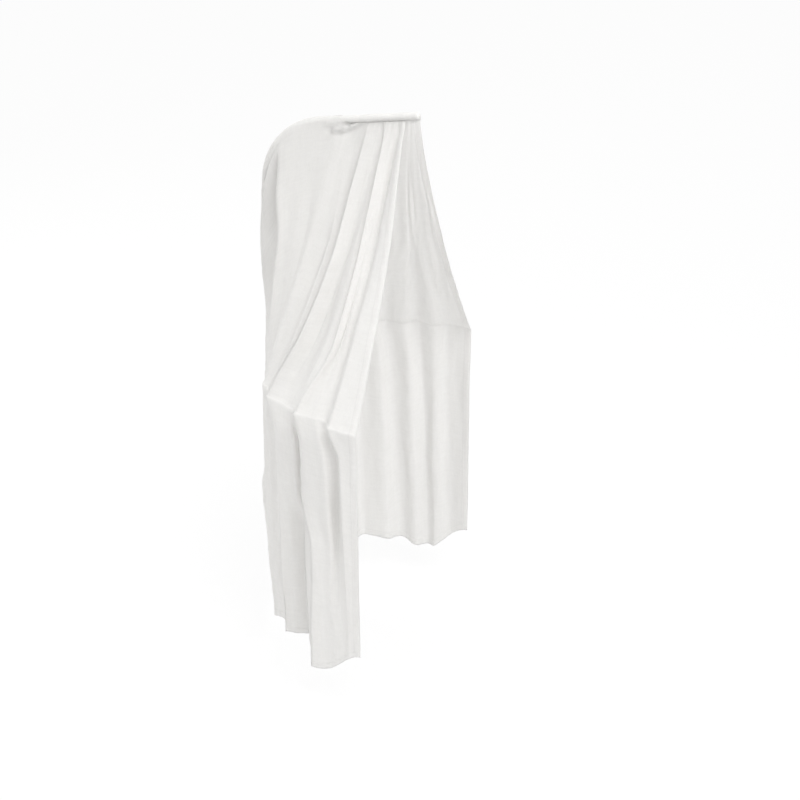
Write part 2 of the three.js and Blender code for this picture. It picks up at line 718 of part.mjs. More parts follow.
// The oval at an angle from its back, with the nose that goes round the mast; off moves it outwards
function ovalAt(angle, off) {
  const y = (ovalHalfY + off) * Math.sin(angle);
  const nose = noseDepth * Math.exp(-((y / noseWidth) ** 2));
  return new THREE.Vector2(ovalCentre - (ovalHalfX + off) * Math.cos(angle) - nose, y);
}

// Angles at equal steps of length round a panel, from the back seam to its front edge
function ovalAngles(frontDeg) {
  const steps = ovalSteps;
  const front = THREE.MathUtils.degToRad(frontDeg);
  const lengths = [0];
  for (let i = 1; i <= steps; i += 1) {
    const piece = ovalAt((front * i) / steps, 0).distanceTo(ovalAt((front * (i - 1)) / steps, 0));
    lengths.push(lengths[i - 1] + piece);
  }
  return (share) => {
    const wanted = share * lengths[steps];
    let i = 1;
    while (i < steps && lengths[i] < wanted) {
      i += 1;
    }
    const part = (wanted - lengths[i - 1]) / (lengths[i] - lengths[i - 1]);
    return (front * (i - 1 + part)) / steps;
  };
}

// A panel's thread starts on top of the rod, or under it once the pocket begins, and turns round it
function threadStart(distance, share, row) {
  const under = smooth((distance - (bendLength + pocketStart - pocketLead - turnUnder)) / turnUnder);
  const rolled = Math.min(Math.max((distance + rollBelow) / (rollEnd + rollBelow), 0), 1);
  const loose = clothLoose + rollSwell * Math.sin(Math.PI * rolled) + crumple * Math.sin(Math.PI * under);
  const wrap = upperRadius + gap + clothHalf + loose;
  const finSide = finThick / 2 + gap + clothHalf;
  const lowTurn = Math.acos(finSide / wrap);
  const down = 1 + row;
  const ahead = smooth(share / seamEndShare);
  const from = THREE.MathUtils.lerp(Math.PI / 2, -lowTurn, Math.min(under / wrapShare, 1));
  const to = THREE.MathUtils.lerp(0, -lowTurn, Math.min(under / wrapShare, 1));
  const turn = THREE.MathUtils.lerp(from, THREE.MathUtils.lerp(from, to, ahead), down);
  const onFin = smooth((under - wrapShare) / (1 - wrapShare));
  const finOut = -THREE.MathUtils.lerp(pocketRadius + gap, finDrop, down);
  const out = THREE.MathUtils.lerp(wrap * Math.sin(turn), finOut, onFin);
  const side = THREE.MathUtils.lerp(Math.max(wrap * Math.cos(turn), gap / 2), finSide, onFin);
  return besideRod(distance - seamDrop * down * (1 - ahead), out, side);
}

// The undisturbed cloth at a share round the panel and a row from the rod (-1) to the hem (2)
function plainCloth(panel, share, row) {
  const distance = along(panel.keyShares, panel.rodShares, share) * rodLength;
  const angle = panel.angleAt(share);
  const ledge = smooth(share / ledgeStartShare);
  if (row <= 0) {
    return threadStart(distance, share, row);
  }
  const start = threadStart(distance, share, 0);
  if (row <= 1) {
    const rail = ovalAt(angle, hangOff - ledgeWidth * ledge);
    const power = THREE.MathUtils.lerp(nosePower, 1, smooth(share / ledgeStartShare));
    const bulge = frontBulge * share ** 3 * 4 * row * (1 - row);
    const x = THREE.MathUtils.lerp(start.x, rail.x, row ** power) + bulge;
    const sag = THREE.MathUtils.lerp(noseSag, sagPower, smooth(share / ledgeStartShare));
    const y = THREE.MathUtils.lerp(start.y, Math.max(rail.y, gap / 2), row ** sag);
    return new THREE.Vector3(x, y, THREE.MathUtils.lerp(start.z, ledgeTop, row));
  }
  const round = Math.min((row - 1) / ledgeShare, 1) * (Math.PI / 2);
  const below = Math.max(row - 1 - ledgeShare, 0) / (1 - ledgeShare);
  const off = hangOff - ledgeWidth * ledge * (1 - Math.sin(round));
  const wall = ovalAt(angle, off);
  const hem = hemDrop * along(hemKeyShares, hemShares, share);
  const shoulder = ledgeTop - ledgeRound * (1 - Math.cos(round));
  const z = THREE.MathUtils.lerp(shoulder, -hem, below);
  return new THREE.Vector3(wall.x, Math.max(wall.y, gap / 2), z);
}

// The outward direction of the oval at a share, level with the ground
function outwardAt(panel, share) {
  const angle = panel.angleAt(share);
  const turn = Math.PI / ovalSteps;
  const ahead = ovalAt(angle + turn, hangOff);
  const behind = ovalAt(Math.max(angle - turn, -angle), hangOff);
  const run = ahead.sub(behind).normalize();
  return share === 0 ? new THREE.Vector3(-1, 0, 0) : new THREE.Vector3(-run.y, run.x, 0);
}

// The mirror side, the folds and the other values that differ between the two panels
const nearPanel = {
  side: -1,
  folds: nearFolds,
  keyShares: nearKeyShares,
  rodShares: nearRodShares,
  angleAt: ovalAngles(frontNearDeg),
};
const farPanel = {
  side: 1,
  folds: farFolds,
  keyShares: farKeyShares,
  rodShares: farRodShares,
  angleAt: ovalAngles(frontFarDeg),
};

// One panel: a grid whose columns follow the folds, given its thickness and closed at its edges
function drapePanel(panel) {
  const columns = [];
  panel.folds.slice(0, -1).forEach((fold, place) => {
    const count = fold.columns ?? columnsPerFold;
    for (let k = 0; k < count; k += 1) {
      columns.push([place, k / count]);
    }
  });
  columns.push([panel.folds.length - 2, 1]);
  const grid = rowShares.map((row) => {
    const level = Math.max(row, 0);
    return columns.map(([fold, part]) => {
      const [left, right] = [panel.folds[fold], panel.folds[fold + 1]];
      const share = THREE.MathUtils.lerp(
        along(levelShares, left.roundShares, level),
        along(levelShares, right.roundShares, level),
        part,
      );
      const depth = THREE.MathUtils.lerp(
        along(levelShares, left.depthShares, level),
        along(levelShares, right.depthShares, level),
        smooth(part),
      );
      const fade = smooth(row + 1);
      const point = plainCloth(panel, share, row);
      point.addScaledVector(outwardAt(panel, share), depth * foldDepth * fade);
      return point;
    });
  });
  return thickSheet(grid, panel.side);
}

function thickSheet(grid, side) {
  const rows = grid.length;
  const columns = grid[0].length;
  const positions = [];
  const index = [];
  for (const face of [1, -1]) {
    for (let i = 0; i < rows; i += 1) {
      for (let j = 0; j < columns; j += 1) {
        const down = grid[Math.min(i + 1, rows - 1)][j].clone().sub(grid[Math.max(i - 1, 0)][j]);
        const across = grid[i][Math.min(j + 1, columns - 1)].clone().sub(grid[i][Math.max(j - 1, 0)]);
        const point = grid[i][j];
        const normal = down.cross(across);
        normal.y *= point.y > gap;
        const moved = point.clone().addScaledVector(normal.normalize(), face * clothHalf);
        positions.push(moved.x, side * moved.y, moved.z);
      }
    }
  }
  const at = (face, i, j) => (face * rows + i) * columns + j;
  const quad = (a, b, c, d) => {
    if (side > 0) {
      index.push(a, b, c, a, c, d);
    } else {
      index.push(a, c, b, a, d, c);
    }
  };
  for (let i = 0; i < rows - 1; i += 1) {
    for (let j = 0; j < columns - 1; j += 1) {
      quad(at(0, i, j), at(0, i + 1, j), at(0, i + 1, j + 1), at(0, i, j + 1));
      quad(at(1, i, j), at(1, i, j + 1), at(1, i + 1, j + 1), at(1, i + 1, j));
    }
    quad(at(0, i, 0), at(1, i, 0), at(1, i + 1, 0), at(0, i + 1, 0));
    const j = columns - 1;
    quad(at(0, i, j), at(0, i + 1, j), at(1, i + 1, j), at(1, i, j));
  }
  for (let j = 0; j < columns - 1; j += 1) {
    quad(at(0, 0, j), at(0, 0, j + 1), at(1, 0, j + 1), at(1, 0, j));
    const i = rows - 1;
    quad(at(0, i, j), at(1, i, j), at(1, i, j + 1), at(0, i, j + 1));
  }
  const geometry = new THREE.BufferGeometry();
  geometry.setAttribute('position', new THREE.Float32BufferAttribute(positions, 3));
  geometry.setIndex(index);
  return geometry;
}

addPiece('drape_near_panel', drapePanel(nearPanel), cotton);
addPiece('drape_far_panel', drapePanel(farPanel), cotton);

export default canopy;
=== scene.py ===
from math import cos, pi, radians, sin

import bmesh
import bpy
import numpy as np
from mathutils import Matrix, Vector, noise


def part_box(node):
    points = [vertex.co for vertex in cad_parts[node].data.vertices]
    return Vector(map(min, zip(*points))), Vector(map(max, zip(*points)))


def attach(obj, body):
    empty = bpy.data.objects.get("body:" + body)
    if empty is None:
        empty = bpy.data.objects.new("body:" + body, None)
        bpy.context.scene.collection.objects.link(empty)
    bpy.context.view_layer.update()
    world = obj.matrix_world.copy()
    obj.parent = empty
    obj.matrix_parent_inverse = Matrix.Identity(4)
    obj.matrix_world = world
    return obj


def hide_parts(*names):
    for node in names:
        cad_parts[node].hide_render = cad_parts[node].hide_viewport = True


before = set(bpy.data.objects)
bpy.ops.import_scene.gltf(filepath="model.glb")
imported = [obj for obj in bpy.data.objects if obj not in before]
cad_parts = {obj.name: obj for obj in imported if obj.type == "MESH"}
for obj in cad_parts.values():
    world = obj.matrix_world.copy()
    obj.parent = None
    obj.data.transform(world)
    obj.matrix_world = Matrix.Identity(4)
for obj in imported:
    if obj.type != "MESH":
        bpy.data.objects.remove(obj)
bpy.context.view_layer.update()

# View: the photographer stood to the right of the canopy's open front, looked down on it and used a
# long lens. The picture is taken to be 800 by 800.
view_turn = radians(24)
view_height = radians(29.5)
view_distance = 4.7
aim_point = Vector((0.37, 0, 0.02))
sensor_width = 36
picture_side = 800
focal_pixels = 1800
aim_pixel = (410, 381.7)

level_reach = cos(view_height)
to_camera = Vector((sin(view_turn) * level_reach, -cos(view_turn) * level_reach, sin(view_height)))
camera_data = bpy.data.cameras.new("camera")
camera_data.sensor_width = sensor_width
camera_data.lens = sensor_width * focal_pixels / picture_side
camera_data.shift_x = (picture_side / 2 - aim_pixel[0]) / picture_side
camera_data.shift_y = (aim_pixel[1] - picture_side / 2) / picture_side
camera = bpy.data.objects.new("camera", camera_data)
camera.location = aim_point + to_camera * view_distance
camera.rotation_euler = (-to_camera).to_track_quat("-Z", "Y").to_euler()
bpy.context.scene.collection.objects.link(camera)
bpy.context.scene.camera = camera

# Studio: a pale floor below the hem, in a bright room with one large soft lamp over the viewer's right
# shoulder and a weaker one behind the canopy's back. The floor and the walls read as white, and the
# floor keeps a faint shadow.
floor_height = -0.85
floor_side = 40
floor_colour = (0.86, 0.86, 0.86, 1)
floor_glow = 0.85
white_light = (1, 1, 1, 1)
room_glow = 0.9
key_lamp = (Vector((2.25, -1.55, 3.75)), 116, 2.0)
rim_lamp = (Vector((-2.4, 0.9, 1.4)), 22, 1.6)
lamp_aim = Vector((0.15, 0, 0.1))


class Shade:
    """A shader socket that takes part in sums, with the tree that its nodes are made in."""

    def __init__(self, tree, socket=None):
        self.tree = tree
        self.socket = socket

    def node(self, kind, settings=None, sockets=None, out=0):
        """Adds a node, its settings first and then the values or links of its sockets."""
        made = self.tree.nodes.new("ShaderNode" + kind)
        for name, value in (settings or {}).items():
            setattr(made, name, value)
        for name, value in (sockets or {}).items():
            if isinstance(value, Shade):
                self.tree.links.new(value.socket, made.inputs[name])
            else:
                made.inputs[name].default_value = value
        return Shade(self.tree, made.outputs[out] if made.outputs else None)

    def maths(self, operation, *terms):
        return self.node("Math", {"operation": operation}, dict(enumerate(terms)))

    def __add__(self, other):
        return self.maths("ADD", self, other)

    def __sub__(self, other):
        return self.maths("SUBTRACT", self, other)

    def __rsub__(self, other):
        return self.maths("SUBTRACT", other, self)

    def __mul__(self, other):
        return self.maths("MULTIPLY", self, other)

    __radd__ = __add__
    __rmul__ = __mul__


def white_to_the_eye(shade, lit, glow):
    """Shows white where the picture, a reflection or glass looks at it, and lights the rest as lit."""
    camera_ray, glossy_ray, transmission_ray = (
        shade.node("LightPath", out=f"Is {ray} Ray") for ray in ("Camera", "Glossy", "Transmission")
    )
    seen = shade.maths("MAXIMUM", shade.maths("MAXIMUM", camera_ray, glossy_ray), transmission_ray)
    glowing = "Background" if lit.socket.node.type == "BACKGROUND" else "Emission"
    white = shade.node(glowing, None, {"Color": white_light})
    return shade.node("MixShader", None, {0: seen * glow, 1: lit, 2: white})


def new_tree(data):
    data.use_nodes = True
    data.node_tree.nodes.clear()
    return Shade(data.node_tree)


def mesh_of(bm, name):
    mesh = bpy.data.meshes.new(name)
    bm.to_mesh(mesh)
    bm.free()
    return mesh


def placed_object(name, data):
    made = bpy.data.objects.new(name, data)
    bpy.context.scene.collection.objects.link(made)
    return made


bm = bmesh.new()
bmesh.ops.create_grid(bm, x_segments=1, y_segments=1, size=floor_side / 2)
bmesh.ops.translate(bm, verts=bm.verts, vec=(0, 0, floor_height))
floor = placed_object("floor", mesh_of(bm, "floor"))
floor_finish = bpy.data.materials.new("floor")
ground = new_tree(floor_finish)
matt = ground.node("BsdfDiffuse", None, {"Color": floor_colour})
ground.node("OutputMaterial", None, {"Surface": white_to_the_eye(ground, matt, floor_glow)})
floor.data.materials.append(floor_finish)

room = bpy.data.worlds.new("room")
walls = new_tree(room)
room_light = walls.node("Background", None, {"Color": white_light, "Strength": room_glow})
walls.node("OutputWorld", None, {"Surface": white_to_the_eye(walls, room_light, 1)})
bpy.context.scene.world = room
bpy.context.scene.view_settings.view_transform = "Standard"

for place, energy, side in (key_lamp, rim_lamp):
    lamp_data = bpy.data.lights.new("lamp", "AREA")
    lamp_data.energy = energy
    lamp_data.size = side
    lamp = placed_object("lamp", lamp_data)
    lamp.location = place
    lamp.rotation_euler = (lamp_aim - place).to_track_quat("-Z", "Y").to_euler()

# Clamp: an upturned U that hooks over the edge that carries the canopy, the saddle that holds the
# lower tube on its back, and the loose jaw. Cast steel, blasted and then powder coated white, which
# leaves a fine orange peel.
steel_light = (0.86, 0.86, 0.85, 1)
steel_dark = (0.78, 0.78, 0.765, 1)
coat_roughness = (0.3, 0.46)
film_patches = 45
peel_grains = 1100
peel_depth = 0.00006
cast_rounding = 0.0008
rounding_steps = 2
curve_limit = radians(32)
flat_limit = radians(1)
weld_reach = 0.00001


def grain(shade, features, stretch=(1, 1, 1), detail=2.0):
    """Noise fixed to the piece, with so many features in a metre."""
    place = shade.node("TexCoord", out="Object")
    drawn = shade.node("Mapping", None, {"Vector": place, "Scale": stretch})
    return shade.node("TexNoise", None, {"Vector": drawn, "Scale": features, "Detail": detail})


def tint(shade, factor, dark, light):
    return shade.node("Mix", {"data_type": "RGBA"}, {0: factor, 6: dark, 7: light}, out=2)


def relief(shade, height, depth):
    return shade.node("Bump", None, {"Height": height, "Distance": depth})


def between(limits, factor):
    low, high = limits
    return low + (high - low) * factor


def surface(name, make, **constants):
    """A finish whose varying sockets come from make(shade) and whose other sockets are constant."""
    finish = bpy.data.materials.new(name)
    shade = new_tree(finish)
    principled = shade.node("BsdfPrincipled", None, {**constants, **make(shade)})
    shade.node("OutputMaterial", None, {"Surface": principled})
    return finish


def coated(shade):
    film = grain(shade, film_patches, detail=4)
    return {
        "Base Color": tint(shade, film, steel_dark, steel_light),
        "Roughness": between(coat_roughness, film),
        "Normal": relief(shade, grain(shade, peel_grains), peel_depth),
    }


powder_coat = surface("powder_coat", coated, **{"Coat Weight": 0.15, "Coat Roughness": 0.2})

smoothing = bpy.data.node_groups.new("smooth_curves", "GeometryNodeTree")
smoothing.interface.new_socket("Geometry", in_out="INPUT", socket_type="NodeSocketGeometry")
smoothing.interface.new_socket("Geometry", in_out="OUTPUT", socket_type="NodeSocketGeometry")
given = smoothing.nodes.new("NodeGroupInput")
rounded = smoothing.nodes.new("GeometryNodeSetShadeSmooth")
creased = smoothing.nodes.new("GeometryNodeSetShadeSmooth")
creased.domain = "EDGE"
bend = smoothing.nodes.new("GeometryNodeInputMeshEdgeAngle")
shallow = smoothing.nodes.new("FunctionNodeCompare")
shallow.operation = "LESS_EQUAL"
shallow.inputs[1].default_value = curve_limit
shown = smoothing.nodes.new("NodeGroupOutput")
smoothing.links.new(given.outputs[0], rounded.inputs["Geometry"])
smoothing.links.new(rounded.outputs[0], creased.inputs["Geometry"])
smoothing.links.new(bend.outputs["Unsigned Angle"], shallow.inputs[0])
smoothing.links.new(shallow.outputs[0], creased.inputs["Shade Smooth"])
smoothing.links.new(creased.outputs[0], shown.inputs[0])


def dress(name, finish, rounding):
    """Gives a solid its finish, small rounded corners and smooth curved faces."""
    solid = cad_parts[name]
    solid.material_slots[0].material = finish
    solid.modifiers.new("joined", "WELD").merge_threshold = weld_reach
    faces = solid.modifiers.new("faces", "DECIMATE")
    faces.decimate_type = "DISSOLVE"
    faces.angle_limit = flat_limit
    corners = solid.modifiers.new("corners", "BEVEL")
    corners.width = rounding
    corners.segments = rounding_steps
    corners.limit_method = "ANGLE"
    corners.angle_limit = curve_limit
    solid.modifiers.new("smooth", "NODES").node_group = smoothing
    return solid


for name in ("clamp_body", "tube_saddle", "moving_jaw"):
    dress(name, powder_coat, cast_rounding)

# Pads: ribbed soft rubber, moulded and bonded on the clamp and the lower rest where these press on
# what carries them, so that they grip and leave no mark.
rubber_dark = (0.028, 0.028, 0.03, 1)
rubber_light = (0.06, 0.06, 0.064, 1)
rubber_roughness = (0.68, 0.9)
rubber_dust = 160
rubber_rounding = 0.0005
rib_pitch = 0.0036
rib_share = 0.5
rib_depth = 0.0003


def moulded_rubber(shade):
    place = shade.node("TexCoord", out="Object")
    height = shade.node("SeparateXYZ", None, {"Vector": place}, out="Z")
    ribs = height.maths("SINE", height * (2 * pi / rib_pitch))
    dust = grain(shade, rubber_dust, detail=5)
    return {
        "Base Color": tint(shade, dust, rubber_dark, rubber_light),
        "Roughness": between(rubber_roughness, dust),
        "Normal": relief(shade, ribs * rib_share + dust, rib_depth),
    }


rubber = surface("soft_rubber", moulded_rubber)
for name in ("fixed_jaw_pad", "rail_top_pad", "moving_jaw_pad", "rest_bumper"):
    dress(name, rubber, rubber_rounding)

# Small fasteners: turned and zinc plated steel. Four screws and nuts draw the saddle on the tube, one
# pair pinches the rest's ring, and one pin holds the collar.
zinc_dark = (0.52, 0.53, 0.55, 1)
zinc_light = (0.7, 0.71, 0.73, 1)
zinc_roughness = (0.2, 0.42)
zinc_wear = 240
turning_marks = 1400
turning_stretch = (0.2, 1, 1)
turning_depth = 0.00003
metal_rounding = 0.0003


def plated(shade):
    wear = grain(shade, zinc_wear, detail=5)
    return {
        "Base Color": tint(shade, wear, zinc_dark, zinc_light),
        "Roughness": between(zinc_roughness, wear),
        "Normal": relief(shade, grain(shade, turning_marks, turning_stretch), turning_depth),
    }


zinc = surface("zinc_plate", plated, Metallic=1.0)
fasteners = [f"saddle_{kind}_{place}" for kind in ("screw", "nut") for place in range(1, 5)]
for name in [*fasteners, "rest_screw", "rest_nut", "collar_screw"]:
    dress(name, zinc, metal_rounding)

# Brass nut and pad: turned from bar, so fine rings run round their axis. The nut is pressed in the
# clamp's inner leg, and the pad bears on the bush.
brass_dark = (0.5, 0.36, 0.13, 1)
brass_light = (0.72, 0.55, 0.25, 1)
brass_roughness = (0.2, 0.4)
brass_tarnish = 150
ring_pitch = 0.0004
ring_depth = 0.00002


def turned_brass(name):
    low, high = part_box(name)
    axis = (low + high) / 2

    def rings(shade):
        place = shade.node("TexCoord", out="Object")
        centred = shade.node("VectorMath", {"operation": "SUBTRACT"}, {0: place, 1: (0, axis.y, axis.z)})
        flat = shade.node("VectorMath", {"operation": "MULTIPLY"}, {0: centred, 1: (0, 1, 1)})
        radius = shade.node("VectorMath", {"operation": "LENGTH"}, {0: flat}, out="Value")
        cuts = radius.maths("SINE", radius * (2 * pi / ring_pitch))
        tarnish = grain(shade, brass_tarnish, detail=5)
        return {
            "Base Color": tint(shade, tarnish, brass_dark, brass_light),
            "Roughness": between(brass_roughness, tarnish),
            "Normal": relief(shade, cuts, ring_depth),
        }

    return surface(name + "_brass", rings, Metallic=1.0)


for name in ("clamp_nut", "lock_pad"):
    dress(name, turned_brass(name), metal_rounding)

# Clamp screw and lock screw: rolled steel threads, zinc plated. A hand knob is moulded on the end of
# each. The thread is a tooth that climbs round a plain core and runs out into it at both ends.
thread_pitch = {"clamp_screw": 0.002, "lock_screw": 0.001}
tooth_share = 0.6
tooth_outline = ((0, 0), (0.35, 1), (0.5, 1), (0.85, 0), (1, 0))
plain_turns = 2
turn_steps = 20
core_sides = 32
core_proud = 0.00005


def threaded_bar(name):
    low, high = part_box(name)
    pitch = thread_pitch[name]
    crest = (high.z - low.z) / 2
    root = crest - tooth_share * pitch
    height = (high.z + low.z) / 2
    start = low.x + pitch
    turns = int((high.x - low.x) / pitch) - plain_turns
    bm = bmesh.new()
    corners = [
        bm.verts.new((start + share * pitch, 0, root + rise * (crest - root)))
        for share, rise in tooth_outline
    ]
    for a, b in zip(corners, corners[1:]):
        bm.edges.new((a, b))
    steps = turns * turn_steps
    climb = (pitch / turn_steps, 0, 0)
    bmesh.ops.spin(
        bm, geom=bm.verts[:] + bm.edges[:], cent=(start, 0, 0), axis=(1, 0, 0), dvec=climb,
        angle=2 * pi * turns, steps=steps,
    )
    bmesh.ops.remove_doubles(bm, verts=bm.verts, dist=weld_reach)
    for vert in bm.verts:
        from_end = min(vert.co.x - start, start + (turns + 1) * pitch - vert.co.x) / pitch
        radius = Vector((0, vert.co.y, vert.co.z)).length
        shrunk = root - core_proud + (radius - root + core_proud) * min(max(from_end, 0), 1)
        vert.co.y *= shrunk / radius
        vert.co.z *= shrunk / radius
    core = bmesh.ops.create_cone(
        bm, cap_ends=True, segments=core_sides, radius1=root, radius2=root, depth=high.x - low.x
    )["verts"]
    bmesh.ops.rotate(bm, verts=core, cent=(0, 0, 0), matrix=Matrix.Rotation(pi / 2, 3, "Y"))
    bmesh.ops.translate(bm, verts=core, vec=((low.x + high.x) / 2, 0, 0))
    bmesh.ops.translate(bm, verts=bm.verts, vec=(0, 0, height))
    bmesh.ops.recalc_face_normals(bm, faces=bm.faces)
    return mesh_of(bm, name + "_thread")


def shown_piece(mesh, body, finish, slot, *nodes):
    """Puts a mesh in the scene as a piece that rides on a body and stands for solids."""
    mesh.materials.append(finish)
    piece = placed_object(mesh.name, mesh)
    piece.modifiers.new("smooth", "NODES").node_group = smoothing
    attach(piece, body)
    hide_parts(*nodes)
    return piece


shown_piece(threaded_bar("clamp_screw"), "clamp_spindle", zinc, "zinc_screws", "clamp_screw")
shown_piece(threaded_bar("lock_screw"), "lock_spindle", zinc, "zinc_screws", "lock_screw")

# Moulded fittings: the two lobed knobs, the collar with its lock boss, the rest ring with its stub, and
# the caps of the tubes. White plastic with the fine spark texture of its mould.
plastic_light = (0.83, 0.83, 0.81, 1)
plastic_dark = (0.74, 0.74, 0.72, 1)
plastic_roughness = (0.42, 0.56)
handled_patches = 60
spark_grains = 3200
spark_depth = 0.00005
moulded_rounding = 0.0006


def spark_textured(shade):
    handling = grain(shade, handled_patches, detail=4)
    return {
        "Base Color": tint(shade, handling, plastic_dark, plastic_light),
        "Roughness": between(plastic_roughness, handling),
        "Normal": relief(shade, grain(shade, spark_grains), spark_depth),
    }


white_plastic = surface("moulded_plastic", spark_textured)
for name in ("clamp_knob", "lock_knob", "collar", "rest_ring", "foot_cap", "arm_end_cap"):
    dress(name, white_plastic, moulded_rounding)

# Bush and glide: turned from natural nylon, which is waxy and lets a little light in. They keep the
# upper tube from scratching the lower one as it slides and turns.
nylon_light = (0.84, 0.82, 0.76, 1)
nylon_dark = (0.76, 0.74, 0.68, 1)
nylon_roughness = (0.38, 0.5)
nylon_clouds = 90
nylon_marks = 700
nylon_depth = 0.00004


def waxy(shade):
    cloud = grain(shade, nylon_clouds, detail=4)
    return {
        "Base Color": tint(shade, cloud, nylon_dark, nylon_light),
        "Roughness": between(nylon_roughness, cloud),
        "Normal": relief(shade, grain(shade, nylon_marks), nylon_depth),
    }


nylon = surface("natural_nylon", waxy, **{"Subsurface Weight": 0.25, "Subsurface Scale": 0.003})
for name in ("collar_bush", "glide_plug"):
    dress(name, nylon, metal_rounding)

# Lower tube: a straight length of 20 mm steel tube, cut square, powder coated, and clamped in the
# saddle. The upper tube slides in it.
tube_sides = 64
tube_wall = 0.0015


def tube_piece(bm, name, body):
    """Shows an open shell of bm as the tube of that name, with its wall on the inside."""
    bmesh.ops.recalc_face_normals(bm, faces=bm.faces)
    piece = shown_piece(mesh_of(bm, name + "_steel"), body, powder_coat, "white_steel", name)
    wall = piece.modifiers.new("wall", "SOLIDIFY")
    wall.thickness = tube_wall
    wall.offset = -1
    piece.modifiers.move(len(piece.modifiers) - 1, 0)


def tube_end(bm, radius, height):
    place = Matrix.Translation((mast_x, 0, height))
    bmesh.ops.create_circle(bm, segments=tube_sides, radius=radius, matrix=place)
    return bm.edges[:]


def extruded(bm, edges, vec):
    """Draws a loop of edges out along vec and returns the new loop."""
    drawn = bmesh.ops.extrude_edge_only(bm, edges=edges)["geom"]
    bmesh.ops.translate(bm, verts=[v for v in drawn if isinstance(v, bmesh.types.BMVert)], vec=vec)
    return [e for e in drawn if isinstance(e, bmesh.types.BMEdge)]


lower_foot, lower_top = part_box("lower_tube")
lower_radius = (lower_top.y - lower_foot.y) / 2
mast_x = (lower_foot.x + lower_top.x) / 2
bm = bmesh.new()
extruded(bm, tube_end(bm, lower_radius, lower_foot.z), (0, 0, lower_top.z - lower_foot.z))
tube_piece(bm, "lower_tube", "stand")

# Upper tube: one length of 16 mm steel tube, bent on a former into a straight mast, a wide bend and a
# rising arm, then powder coated. It carries the cloth.
rod_radius = 0.008
bend_foot = 0.499
bend_radius = 0.215
arm_rise = radians(11.5)
arm_length = 0.25
bend_turn = pi / 2 - arm_rise
bend_length = bend_radius * bend_turn
bend_steps = 56

upper_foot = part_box("upper_tube")[0].z
bend_centre = Vector((mast_x + bend_radius, 0, bend_foot))
arm_direction = Vector((cos(arm_rise), 0, sin(arm_rise)))
bm = bmesh.new()
loop = extruded(bm, tube_end(bm, rod_radius, upper_foot), (0, 0, bend_foot - upper_foot))
ring = list({vert for edge in loop for vert in edge.verts})
spun = bmesh.ops.spin(
    bm, geom=ring + loop, cent=bend_centre, axis=(0, 1, 0), angle=bend_turn, steps=bend_steps
)["geom_last"]
extruded(bm, [e for e in spun if isinstance(e, bmesh.types.BMEdge)], arm_direction * arm_length)
tube_piece(bm, "upper_tube", "canopy")

# Cloth: one sheer off-white cotton voile sheet with narrow sewn hems. It turns over the rod, dives into
# a valley beside the mast, hangs in soft pleats from the pocket's seam, breaks over a level edge and
# falls to its hem. Only its own weight and what it rests on hold it.
pocket_end = 0.006
pocket_start = 0.092
rod_length = bend_length + arm_length + pocket_end

cloth_gauge = 0.0005
hem_gauge_share = 2.2
cloth_ease = 0.0016
crumple = 0.0014
roll_swell = 0.009
roll_below = 0.06
roll_end = 0.285
turn_under = 0.066
pocket_lead = 0.004
fin_drop = 0.011
fin_half = 0.0017
band_radius = 0.0096
wrap_share = 0.8
seam_drop = 0.014
seam_end_share = 0.06

oval_half_x = 0.385
oval_half_y = 0.32
oval_centre = 0.37
near_front = radians(90.7)
far_front = radians(95)
nose_depth = 0.024
nose_width = 0.05
oval_steps = 400
side_step = pi / 240
stand_off = 0.012
ledge_width = 0.006
ledge_top = 0.024
ledge_round = 0.01
ledge_start_share = 0.08
ledge_full_share = 0.3
ledge_share = 0.02
hem_drop = 0.69
sag_power = 1.35
nose_power = 0.4
nose_sag = 0.7
bulge_power = 3
near_bulge = 0.008
near_climb = 0.022
climb_start_share = 0.57
climb_end_share = 0.69
far_bulge = 0.003
hem_tuck = 0.014
hem_tuck_row = 1.7
fold_depth = 0.024
lean_share = 0.25
lean_row = 0.2
joined_columns = 38
unjoined_column = 50

